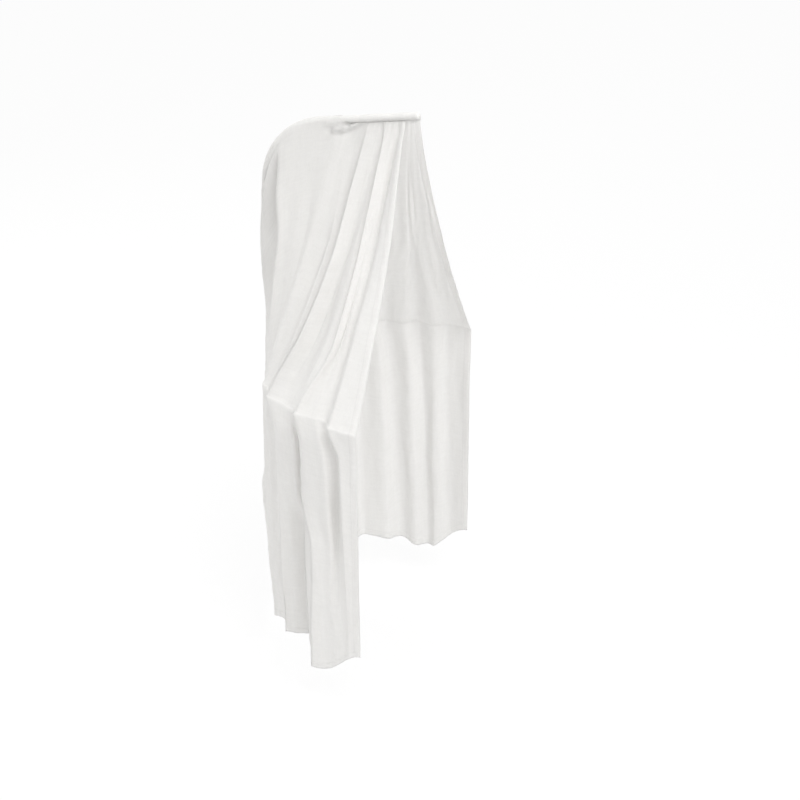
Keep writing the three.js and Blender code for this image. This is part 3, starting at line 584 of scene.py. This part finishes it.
# Rows run from -1 on top of the rod, past 0 beside it and 1 at the level edge, to 2 at the hem. Each
# fold line gives its place round the panel and its depth at ten of them, how crisp it is, and how many
# columns follow it.
level_rows = (0, 0.08, 0.25, 0.5, 0.75, 1, 1.13, 1.33, 1.5, 2)
back_line = ((0,) * 10, (0.1, 0.15, 0.3, 0.2, -0.1, 0, 0, 0, 0, 0.1), 0, 12)
mast_line = (
    (0.11, 0.107, 0.106, 0.147, 0.148, 0.108, 0.095, 0.09, 0.09, 0.09),
    (0, -1.2, -1.6, -1.4, -0.8, -0.1, 0, 0, 0, 0), 0, 9,
)
front_places = (1,) * 10
near_lines = (
    back_line,
    mast_line,
    (
        (0.14, 0.15, 0.165, 0.197, 0.195, 0.15, 0.16, 0.17, 0.175, 0.18),
        (0.05, 0.15, 0.35, 0.35, 0.25, -0.15, -0.05, 0, 0.7, 0.1), 0.4, 8,
    ),
    (
        (0.2, 0.215, 0.228, 0.245, 0.245, 0.26, 0.265, 0.27, 0.275, 0.28),
        (0, -0.05, -0.15, -0.1, -0.2, -0.25, -0.2, -0.25, -0.3, -0.5), 0, 9,
    ),
    (
        (0.28, 0.285, 0.295, 0.31, 0.315, 0.315, 0.33, 0.345, 0.355, 0.36),
        (0, 0, 0, 0.1, 0.2, 0.2, 0.3, 0.35, 0.4, 0.5), 0.1, 8,
    ),
    (
        (0.32, 0.32, 0.335, 0.38, 0.385, 0.355, 0.37, 0.39, 0.4, 0.39),
        (0, 0, -0.1, -0.45, -0.6, -0.25, 0, 0.05, 0.1, 0.1), 0, 5,
    ),
    (
        (0.34, 0.34, 0.365, 0.415, 0.425, 0.375, 0.4, 0.415, 0.425, 0.415),
        (0, 0, -0.15, -0.05, -0.05, -0.15, -0.2, -0.15, -0.1, -0.1), 0.5, 5,
    ),
    (
        (0.36, 0.365, 0.392, 0.453, 0.463, 0.395, 0.435, 0.445, 0.45, 0.44),
        (0, -0.2, -0.45, -0.4, -0.6, -0.4, -0.4, -0.4, -0.35, -0.3), 0, 8,
    ),
    (
        (0.43, 0.445, 0.485, 0.535, 0.508, 0.425, 0.5, 0.52, 0.535, 0.53),
        (0.15, 0.3, 0.5, 0.55, 0.6, 0.45, 0.1, 0.3, 0.45, 0.5), 0.9, 9,
    ),
    (
        (0.52, 0.53, 0.545, 0.575, 0.55, 0.51, 0.56, 0.575, 0.575, 0.555),
        (0.05, 0, -0.3, -0.75, -1.3, -0.5, 0.1, 0.1, -0.3, -0.4), 0.5, 6,
    ),
    (
        (0.57, 0.57, 0.59, 0.625, 0.625, 0.58, 0.63, 0.64, 0.615, 0.595),
        (-0.05, -0.15, -0.4, -0.5, -0.9, -0.7, -0.2, -0.3, -1.6, -1.8), 0.6, 7,
    ),
    (
        (0.61, 0.625, 0.655, 0.7, 0.72, 0.637, 0.658, 0.67, 0.745, 0.725),
        (0, -0.25, -0.35, -0.1, -0.1, -0.4, -1.5, -1.9, -0.4, -0.2), 0.2, 9,
    ),
    (
        (0.66, 0.68, 0.715, 0.75, 0.77, 0.68, 0.7, 0.717, 0.785, 0.762),
        (0.15, 0.3, 0.55, 0.65, 0.75, 0.5, 0.2, 0.5, 0.95, 1), 0.9, 9,
    ),
    (
        (0.73, 0.735, 0.75, 0.772, 0.78, 0.77, 0.835, 0.85, 0.86, 0.85),
        (0.1, 0.1, 0.05, -0.05, -0.35, -0.35, 0.3, 0.4, 0.3, 0.1), 0.5, 8,
    ),
    (
        (0.79, 0.775, 0.79, 0.812, 0.82, 0.83, 0.882, 0.873, 0.883, 0.9),
        (0, -0.2, -0.3, -0.3, -0.5, -0.55, -0.9, -0.9, -0.5, 0), 0.2, 9,
    ),
    (
        (0.86, 0.83, 0.845, 0.862, 0.868, 0.865, 0.915, 0.925, 0.93, 0.94),
        (0.15, 0.2, 0.25, 0.35, 0.5, 0.45, 0.2, 0.3, 0.3, 0.15), 0.9, 9,
    ),
    (front_places, (0, 0.9, 1.3, 1.3, 1, 0.4, 0.1, 0.1, 0.1, 0.1), 0, 0),
)
far_lines = (
    back_line,
    mast_line,
    (
        (0.15, 0.16, 0.18, 0.205, 0.21, 0.165, 0.16, 0.16, 0.16, 0.16),
        (0, 0, 0, 0.06, 0.14, 0.2, 0.35, 0.5, 0.55, 0.6), 0.2, 8,
    ),
    (
        (0.2, 0.21, 0.235, 0.262, 0.27, 0.26, 0.255, 0.255, 0.255, 0.255),
        (0, 0, 0, -0.03, -0.07, -0.1, -0.2, -0.3, -0.3, -0.35), 0, 9,
    ),
    (
        (0.27, 0.28, 0.31, 0.335, 0.335, 0.33, 0.335, 0.34, 0.345, 0.35),
        (0, 0, 0, 0.03, 0.14, 0.3, 0.4, 0.45, 0.5, 0.5), 0.1, 12,
    ),
    (
        (0.37, 0.38, 0.41, 0.42, 0.41, 0.405, 0.41, 0.415, 0.42, 0.43),
        (0, 0, 0, -0.04, -0.14, -0.3, -0.35, -0.4, -0.4, -0.45), 0, 10,
    ),
    (
        (0.47, 0.47, 0.475, 0.475, 0.46, 0.45, 0.47, 0.48, 0.49, 0.5),
        (0, 0, 0, 0.04, 0.21, 0.4, 0.45, 0.45, 0.5, 0.5), 0.1, 10,
    ),
    (
        (0.555, 0.56, 0.567, 0.57, 0.56, 0.555, 0.57, 0.58, 0.59, 0.6),
        (0, 0, 0, -0.04, -0.17, -0.3, -0.35, -0.4, -0.4, -0.5), 0, 10,
    ),
    (
        (0.61, 0.615, 0.62, 0.625, 0.61, 0.6, 0.62, 0.635, 0.65, 0.67),
        (0, 0, 0, 0.04, 0.21, 0.4, 0.45, 0.45, 0.5, 0.55), 0.1, 12,
    ),
    (
        (0.765, 0.76, 0.75, 0.745, 0.71, 0.695, 0.71, 0.72, 0.73, 0.75),
        (0, 0, 0, -0.04, -0.17, -0.3, -0.35, -0.35, -0.4, -0.4), 0, 9,
    ),
    (
        (0.8, 0.795, 0.785, 0.78, 0.76, 0.75, 0.765, 0.775, 0.785, 0.8),
        (0, 0, 0, 0.04, 0.21, 0.35, 0.4, 0.4, 0.45, 0.4), 0.1, 9,
    ),
    (
        (0.84, 0.83, 0.815, 0.81, 0.82, 0.825, 0.825, 0.83, 0.83, 0.84),
        (0, 0, 0, -0.03, -0.14, -0.3, -0.3, -0.3, -0.3, -0.3), 0, 9,
    ),
    (
        (0.92, 0.915, 0.91, 0.91, 0.905, 0.9, 0.9, 0.9, 0.9, 0.91),
        (0, 0, 0, 0.03, 0.14, 0.35, 0.35, 0.4, 0.4, 0.4), 0.1, 12,
    ),
    (front_places, (0, 0, 0.05, 0.05, 0.15, 0.2, 0.15, 0.1, 0.1, 0.1), 0, 0),
)
near_place_shares = (0, 0.2, 0.42, 0.66, 0.83, 1)
near_rod_shares = (0, 0.42, 0.745, 0.835, 0.91, 0.925)
far_place_shares = (0, 0.18, 0.37, 0.58, 0.73, 0.88, 1)
far_rod_shares = (0, 0.42, 0.72, 0.83, 0.92, 0.975, 0.995)
hem_place_shares = (0, 0.2, 0.45, 0.65, 0.8, 1)
hem_shares = (1.075, 1.075, 1, 1.02, 1.05, 0.935)

# Each stretch of rows gives its first, the one that it ends before, and how many it has.
hem_row = 1.972
ledge_row = 1 + ledge_share
row_counts = ((-1, 0, 6), (0, 1, 92), (1, ledge_row, 5), (ledge_row, hem_row, 76), (hem_row, 2, 4))

# Wrinkles: long ones that follow the threads down, small puckers, gathers under the pocket's seam, and
# creases where the near side turns under the rod. Each crease has two ends, as distances along the rod
# and down from it, and the depth of its dent.
wrinkle_depth = 0.0022
wrinkle_width = 0.03
wrinkle_length = 0.22
wrinkle_row = 0.5
pucker_depth = 0.0007
pucker_size = 0.016
gather_depth = 0.0009
gather_pitch = 0.0135
gather_start = 0.008
gather_reach = 0.038
gather_drift = 2
drift_size = 0.03
crease_width = 0.0055
near_seed = 2.0
far_seed = 31.0
pucker_seed = 7
drift_seed = 3
creases = (
    ((0.322, 0.024), (0.376, 0.002), 0.0075),
    ((0.304, 0.022), (0.358, 0.002), -0.003),
    ((0.305, 0.008), (0.335, 0.003), 0.003),
    ((0.335, 0.034), (0.39, 0.009), -0.004),
)

least_length = 1e-9
hem_width = 0.018
hem_step = 0.001
stitch_inset = 0.0165
stitch_length = 0.0035
stitch_gauge = 0.0005


def blend(a, b, t):
    return a + (b - a) * t


def smooth(t):
    t = np.clip(t, 0, 1)
    return t * t * (3 - 2 * t)


def along(keys, values, key):
    """A smooth curve through a table, with no overshoot between its points."""
    keys, values = np.array(keys, float), np.array(values, float)
    slopes = np.diff(values) / np.diff(keys)
    before, after = np.append(0, slopes), np.append(slopes, 0)
    total = before + after
    tangents = np.where(before * after > 0, 2 * before * after / np.where(total == 0, 1, total), 0)
    i = np.clip(np.searchsorted(keys, key) - 1, 0, len(keys) - 2)
    width = keys[i + 1] - keys[i]
    s = (key - keys[i]) / width
    r = 1 - s
    low = values[i] * r * r * (1 + 2 * s) + tangents[i] * width * s * r * r
    return low + values[i + 1] * s * s * (3 - 2 * s) - tangents[i + 1] * width * s * s * r


def beside_rod(distance, out, side):
    """Points beside the rod's line: out is away from the inside of its bend."""
    turn = np.clip(distance, 0, bend_length) / bend_radius
    beyond = np.maximum(distance - bend_length, 0)
    before = np.minimum(distance, 0)
    x = mast_x + bend_radius * (1 - np.cos(turn)) + beyond * cos(arm_rise) - out * np.cos(turn)
    z = bend_foot + bend_radius * np.sin(turn) + beyond * sin(arm_rise) + before + out * np.sin(turn)
    return np.stack(np.broadcast_arrays(x, side, z), -1)


def oval_at(angle, off):
    """The oval that the cloth follows on the level, with a nose at its back that clears the mast."""
    y = (oval_half_y + off) * np.sin(angle)
    nose = nose_depth * np.exp(-((y / nose_width) ** 2))
    return oval_centre - (oval_half_x + off) * np.cos(angle) - nose, y


def angles_of(front):
    """The oval's angle for a share of the panel's width, by equal steps of length."""
    angles = np.linspace(0, front, oval_steps)
    x, y = oval_at(angles, 0)
    lengths = np.append(0, np.cumsum(np.hypot(np.diff(x), np.diff(y))))
    return lambda share: np.interp(share * lengths[-1], lengths, angles)


def thread_start(distance, share, row):
    """Where a thread leaves the rod: over its top, or under it once the pocket begins."""
    turn_start = bend_length + pocket_start - pocket_lead - turn_under
    under = smooth((distance - turn_start) / turn_under)
    rolled = np.clip((distance + roll_below) / (roll_end + roll_below), 0, 1)
    lift = roll_swell * np.sin(pi * rolled) + crumple * np.sin(pi * under)
    wrap = rod_radius + cloth_gauge + cloth_ease + lift
    low_turn = np.arccos(fin_half / wrap)
    down = 1 + row
    ahead = smooth(share / seam_end_share)
    at_side = np.minimum(under / wrap_share, 1)
    start = blend(pi / 2, -low_turn, at_side)
    turn = blend(start, blend(start, blend(0, -low_turn, at_side), ahead), down)
    on_fin = smooth((under - wrap_share) / (1 - wrap_share))
    out = blend(wrap * np.sin(turn), -blend(band_radius, fin_drop, down), on_fin)
    side = blend(wrap * np.cos(turn), fin_half, on_fin)
    return beside_rod(distance - seam_drop * down * (1 - ahead), out, side)


def plain_cloth(distance, angle_of, share, row, front_bulge, climb):
    """The undisturbed cloth, and its outward and forward directions on the level."""
    angle = angle_of(share)
    ledge = smooth((share - ledge_start_share) / (ledge_full_share - ledge_start_share))
    fold_z = ledge_top + climb * smooth((share - climb_start_share) / (climb_end_share - climb_start_share))
    start = thread_start(distance, share, np.minimum(row, 0))
    fold_x, fold_y = oval_at(angle, stand_off - ledge_width * ledge)
    drop = np.clip(row, 0, 1)
    bulge = front_bulge * share**bulge_power * 4 * drop * (1 - drop)
    hood_x = blend(start[..., 0], fold_x, drop ** blend(nose_power, 1, ledge)) + bulge
    hood_y = blend(start[..., 1], fold_y, drop ** blend(nose_sag, sag_power, ledge))
    hood = np.stack([hood_x, hood_y, blend(start[..., 2], fold_z, drop)], -1)
    turn = np.clip((row - 1) / ledge_share, 0, 1) * pi / 2
    below = np.maximum(row - 1 - ledge_share, 0) / (1 - ledge_share)
    tuck = hem_tuck * smooth((row - hem_tuck_row) / (2 - hem_tuck_row)) * (1 - share)
    wall_x, wall_y = oval_at(angle, stand_off - ledge_width * ledge * (1 - np.sin(turn)) - tuck)
    hem = hem_drop * along(hem_place_shares, hem_shares, share)
    wall_z = blend(fold_z - ledge_round * (1 - np.cos(turn)), -hem, below)
    wall = np.stack([wall_x, wall_y, wall_z], -1)
    ahead_x, ahead_y = oval_at(angle + side_step, stand_off)
    behind_x, behind_y = oval_at(angle - side_step, stand_off)
    run = np.hypot(ahead_x - behind_x, ahead_y - behind_y)
    forward = np.stack([(ahead_x - behind_x) / run, (ahead_y - behind_y) / run, np.zeros_like(run)], -1)
    outward = np.stack([-forward[..., 1], forward[..., 0], forward[..., 2]], -1)
    return np.where((row > 1)[..., None], wall, hood), outward, forward


def normals_of(points):
    down, across = np.gradient(points, axis=(0, 1))
    normal = np.cross(across, down)
    return normal / np.maximum(np.linalg.norm(normal, axis=-1, keepdims=True), least_length)


def noise_at(across, down, seed):
    """Smooth noise of about -1 to 1 on the cloth's own two coordinates."""
    spots = zip(across.ravel(), down.ravel())
    return np.array([noise.noise(Vector((u, v, seed))) for u, v in spots]).reshape(across.shape) * 2


def lengths_along(points, axis):
    steps = np.linalg.norm(np.diff(points, axis=axis), axis=-1)
    return np.concatenate([np.zeros_like(np.take(steps, [0], axis)), np.cumsum(steps, axis)], axis)


class Panel:
    """One half of the sheet as rows of points from the back seam to its front edge, near side as +Y."""

    def __init__(self, lines, place_shares, rod_shares, front, bulge, climb, seed, creases=()):
        self.places, self.depths, self.crisps, column_counts = zip(*lines)
        self.place_shares, self.rod_shares = place_shares, rod_shares
        self.front, self.bulge, self.climb = front, bulge, climb
        self.seed, self.creases = seed, creases
        # Each column lies a part of the way from the fold line on its left to the next one.
        spots = [(line, k / count) for line, count in enumerate(column_counts[:-1]) for k in range(count)]
        spots.append((len(lines) - 2, 1.0))
        self.left, self.part = (np.array(values) for values in zip(*spots))
        self.top = self.distance(self.shares(np.zeros(1)))[0]

    def distance(self, share):
        return along(self.place_shares, self.rod_shares, share) * rod_length

    def at_columns(self, table, part):
        """The values of all columns, from a table of the fold lines' own."""
        return blend(table[self.left], table[self.left + 1], part[:, None]).T

    def shares(self, level):
        table = np.array([along(level_rows, places, level) for places in self.places])
        return self.at_columns(table, self.part)

    def swell(self):
        """How far each column is from its left line's depth to its right line's."""
        crisps = np.array(self.crisps)
        left, right = crisps[self.left], crisps[self.left + 1]
        part = self.part
        even_swell = (1 - left) * (1 - right) * smooth(part) + left * right * part
        return even_swell + left * (1 - right) * part * (2 - part) + (1 - left) * right * part**2

    def points(self, rows, shared_top):
        level = np.maximum(rows, 0)
        depths = np.array([along(level_rows, depths, level) for depths in self.depths])
        crisps = np.array([np.full_like(level, crisp) for crisp in self.crisps])
        share = self.shares(level)
        row = np.broadcast_to(rows[:, None], share.shape)
        depth = self.at_columns(depths, self.swell())
        ridge = np.maximum(depth, 0) * self.at_columns(crisps, self.swell()) * smooth(row / lean_row)
        fade = smooth(row + 1)
        distance = blend(shared_top, self.distance(share), fade)
        angle_of = angles_of(self.front)
        plain, outward, forward = plain_cloth(distance, angle_of, share, row, self.bulge, self.climb)
        folded = outward * (depth * fade)[..., None] - forward * (ridge * lean_share)[..., None]
        return self.wrinkled(plain + folded * fold_depth, row, distance)

    def wrinkled(self, points, row, distance):
        """The points, moved in and out by wrinkles, puckers, gathers and creases."""
        down = lengths_along(points, 0)
        width = lengths_along(points[-1:], 1)
        across = np.broadcast_to(width, down.shape)
        free = smooth(row / wrinkle_row)
        long_noise = noise_at(across / wrinkle_width, down / wrinkle_length, self.seed)
        short_noise = noise_at(across / pucker_size, down / (2 * pucker_size), self.seed + pucker_seed)
        shift = (wrinkle_depth * long_noise + pucker_depth * short_noise) * free
        beyond = smooth((distance - bend_length - pocket_start + turn_under) / turn_under)
        below = down - down[row[:, 0].searchsorted(0)]
        drift = noise_at(distance / drift_size, np.zeros_like(distance), self.seed + drift_seed)
        gathered = np.sin(2 * pi * distance / gather_pitch + gather_drift * drift)
        fall = smooth(below / gather_start) * np.exp(-np.maximum(below, 0) / gather_reach)
        shift = shift + gather_depth * gathered * fall * beyond
        for (start, start_drop), (end, end_drop), dent in self.creases:
            run, rise = end - start, end_drop - start_drop
            place = ((distance - start) * run + (below - start_drop) * rise) / (run**2 + rise**2)
            place = np.clip(place, 0, 1)
            aside = np.hypot(distance - start - run * place, below - start_drop - rise * place)
            shift = shift - dent * np.exp(-((aside / crease_width) ** 2))
        return points - normals_of(points) * shift[..., None]


rows = np.concatenate([np.linspace(a, b, n, endpoint=False) for a, b, n in row_counts] + [[2.0]])
panels = (
    Panel(
        near_lines, near_place_shares, near_rod_shares,
        near_front, near_bulge, near_climb, near_seed, creases,
    ),
    Panel(far_lines, far_place_shares, far_rod_shares, far_front, far_bulge, 0, far_seed),
)
near_top, far_top = (panel.top[:unjoined_column] for panel in panels)
loose = smooth((np.arange(unjoined_column) - joined_columns) / (unjoined_column - joined_columns))
near, far = (
    panel.points(rows, np.append(blend((near_top + far_top) / 2, top, loose), panel.top[unjoined_column:]))
    for panel, top in zip(panels, (near_top, far_top))
)

# The near half is mirrored to its own side. The halves share the seam down the back and, as far as they
# are joined, one line of points on top of the rod.
near[..., 1] *= -1
near[0, :joined_columns, 1] = far[0, :joined_columns, 1] = 0
grid = np.concatenate([near[:, :0:-1], far], 1)
seam_column = near.shape[1] - 1
grid[:, seam_column] = (near[:, 0] + far[:, 0]) / 2
grid[:, seam_column, 1] = 0
far_rim = grid[0, seam_column + joined_columns : seam_column : -1]
grid[0, seam_column - joined_columns : seam_column] = far_rim

rows_down, columns_across = grid.shape[:2]
across = np.broadcast_to(lengths_along(grid[-1:], 1), (rows_down, columns_across))
down = lengths_along(grid, 0)
to_hem = down[-1] - down
sideways = lengths_along(grid, 1)
to_front = np.minimum(sideways, sideways[:, -1:] - sideways)
to_edge = np.minimum(to_hem, to_front)
along_edge = np.where(to_hem < to_front, across, down)
in_hem = smooth((hem_width - to_edge) / hem_step)

bm = bmesh.new()
bmesh.ops.create_grid(bm, x_segments=columns_across - 1, y_segments=rows_down - 1, size=0.5)
weave_map = bm.loops.layers.uv.new("cloth")
edge_layer = bm.verts.layers.float.new("to_edge")
run_layer = bm.verts.layers.float.new("along_edge")
hem_layer = bm.verts.layers.deform.verify()
cells = {}
for vert in bm.verts:
    row, column = (0.5 - vert.co.y) * (rows_down - 1), (vert.co.x + 0.5) * (columns_across - 1)
    cells[vert] = (round(row), round(column))
for vert, cell in cells.items():
    vert.co = grid[cell]
    vert[edge_layer] = to_edge[cell]
    vert[run_layer] = along_edge[cell]
    vert[hem_layer][0] = in_hem[cell]
for face in bm.faces:
    for corner in face.loops:
        cell = cells[corner.vert]
        corner[weave_map].uv = (across[cell], down[cell])
bmesh.ops.remove_doubles(bm, verts=[vert for vert, cell in cells.items() if cell[0] == 0], dist=weld_reach)
bmesh.ops.recalc_face_normals(bm, faces=bm.faces)
cloth_mesh = mesh_of(bm, "canopy_cloth")
cloth_mesh.polygons.foreach_set("use_smooth", [True] * len(cloth_mesh.polygons))

cotton_light = (0.905, 0.9, 0.89, 1)
cotton_dark = (0.85, 0.843, 0.828, 1)
cotton_roughness = 0.9
cotton_sheen = 0.25
light_let_through = 0.4
thread_features = 1500
thread_stretch = 0.05
slub_features = 130
slub_stretch = 0.12
stitch_gap = -0.4
open_alpha = 0.64
weave_alpha = 0.14
slub_alpha = 0.1
hem_alpha = 0.07
stitch_alpha = 0.1
thread_height = 0.5
hem_height = 0.7
stitch_height = 1.2
cloth_relief = 0.00025


def woven(shade):
    """The varying sockets of voile: threads both ways, thicker slubs, and the denser stitched hems."""
    flat = shade.node("UVMap", {"uv_map": "cloth"})

    def threads(features, stretch):
        drawn = shade.node("Mapping", None, {"Vector": flat, "Scale": stretch})
        return shade.node("TexNoise", None, {"Vector": drawn, "Scale": features, "Detail": 1.0})

    def both_ways(features, stretch):
        return threads(features, (1, stretch, 1)) + threads(features, (stretch, 1, 1))

    weave = both_ways(thread_features, thread_stretch)
    slubs = both_ways(slub_features, slub_stretch) * 0.5
    from_edge = shade.node("Attribute", {"attribute_name": "to_edge"}, out="Fac")
    place = shade.node("Attribute", {"attribute_name": "along_edge"}, out="Fac")
    doubled = from_edge.maths("LESS_THAN", from_edge, hem_width)
    beside = from_edge.maths("ABSOLUTE", from_edge - stitch_inset)
    wave = place.maths("SINE", place * (2 * pi / stitch_length))
    stitch = beside.maths("LESS_THAN", beside, stitch_gauge) * wave.maths("GREATER_THAN", wave, stitch_gap)
    height = (weave + slubs) * thread_height + doubled * hem_height + stitch * stitch_height
    density = weave_alpha * weave + slub_alpha * slubs + hem_alpha * doubled + stitch_alpha * stitch
    return {
        "Base Color": tint(shade, slubs, cotton_dark, cotton_light),
        "Alpha": open_alpha + density,
        "Normal": relief(shade, height, cloth_relief),
    }


voile = bpy.data.materials.new("voile")
sheer = new_tree(voile)
varying = woven(sheer)
cotton = sheer.node(
    "BsdfPrincipled", None, {"Roughness": cotton_roughness, "Sheen Weight": cotton_sheen, **varying}
)
through = sheer.node("BsdfTranslucent", None, {"Color": cotton_light, "Normal": varying["Normal"]})
mixed = sheer.node("MixShader", None, {0: light_let_through, 1: cotton, 2: through})
sheer.node("OutputMaterial", None, {"Surface": mixed})
cloth_mesh.materials.append(voile)
cloth = placed_object("canopy_cloth", cloth_mesh)
hems = cloth.vertex_groups.new(name="hem")
gauge = cloth.modifiers.new("gauge", "SOLIDIFY")
gauge.thickness = cloth_gauge * hem_gauge_share
gauge.offset = 0
gauge.vertex_group = hems.name
gauge.thickness_vertex_group = 1 / hem_gauge_share
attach(cloth, "canopy")
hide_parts("drape_near_panel", "drape_far_panel")

# Rod pocket: a doubled band of the same voile, sewn in a tube round the arm and closed at its end. Its
# two edges meet in a flat seam below the tube, and the cloth is gathered on both sides of that seam.
pocket_gauge = 0.0008
pocket_ease = 0.0011
seam_half = 0.0006
end_round = 0.012
round_share = 0.72
band_steps = 96
section_steps = 40
pocket_wrinkle = 0.0009
pocket_wrinkle_size = 0.02
pocket_wrinkle_turns = 3
pocket_seed = 5.0
pocket_gather = 0.0009
gather_power = 3
pocket_lap = 0.066


def pocket_section(turn, size):
    """One point of the teardrop section: round over the tube, then down to the seam on both sides."""
    seam_share = (1 - round_share) / 2
    radius = rod_radius + pocket_ease
    open_turn = np.arcsin(seam_half / radius)
    sweep = np.clip((turn - seam_share) / round_share, 0, 1)
    angle = -pi / 2 + open_turn + sweep * 2 * (pi - open_turn)
    past = np.maximum(seam_share - turn, turn + seam_share - 1)
    drop = np.maximum(past, 0) / seam_share
    side = np.where(drop > 0, np.sign(0.5 - turn) * seam_half, radius * np.cos(angle) * size)
    out = np.where(drop > 0, blend(-radius * size, -fin_drop, drop), radius * np.sin(angle) * size)
    return out, side


bm = bmesh.new()
bmesh.ops.create_grid(bm, x_segments=band_steps, y_segments=section_steps, size=0.5)
pocket_map = bm.loops.layers.uv.new("cloth")
pocket_length = arm_length - pocket_start + pocket_end + pocket_lap
pocket_girth = 2 * fin_drop
for face in bm.faces:
    for corner in face.loops:
        run, turn = corner.vert.co.x + 0.5, corner.vert.co.y + 0.5
        corner[pocket_map].uv = (run * pocket_length, turn * pocket_girth)
for vert in bm.verts:
    run, turn = vert.co.x + 0.5, vert.co.y + 0.5
    length = run * pocket_length
    from_end = np.clip((pocket_length - length) / end_round, 0, 1)
    size = blend(np.sqrt(1 - (1 - from_end) ** 2), 1, smooth(from_end))
    spot = Vector((length / pocket_wrinkle_size, turn * pocket_wrinkle_turns, pocket_seed))
    swell = pocket_wrinkle * noise.noise(spot)
    swell += pocket_gather * sin(2 * pi * length / gather_pitch) * abs(2 * turn - 1) ** gather_power
    swell *= smooth(length / pocket_lap)
    out, side = pocket_section(turn, size)
    distance = bend_length + pocket_start - pocket_lap + length
    lifted = 1 + swell / (rod_radius + pocket_ease)
    vert.co = beside_rod(np.array(distance), np.array(out * lifted), np.array(side * lifted))
bmesh.ops.recalc_face_normals(bm, faces=bm.faces)
pocket = shown_piece(mesh_of(bm, "rod_pocket_cloth"), "canopy", voile, "cotton_voile", "rod_pocket")
shell = pocket.modifiers.new("gauge", "SOLIDIFY")
shell.thickness = pocket_gauge
shell.offset = 0
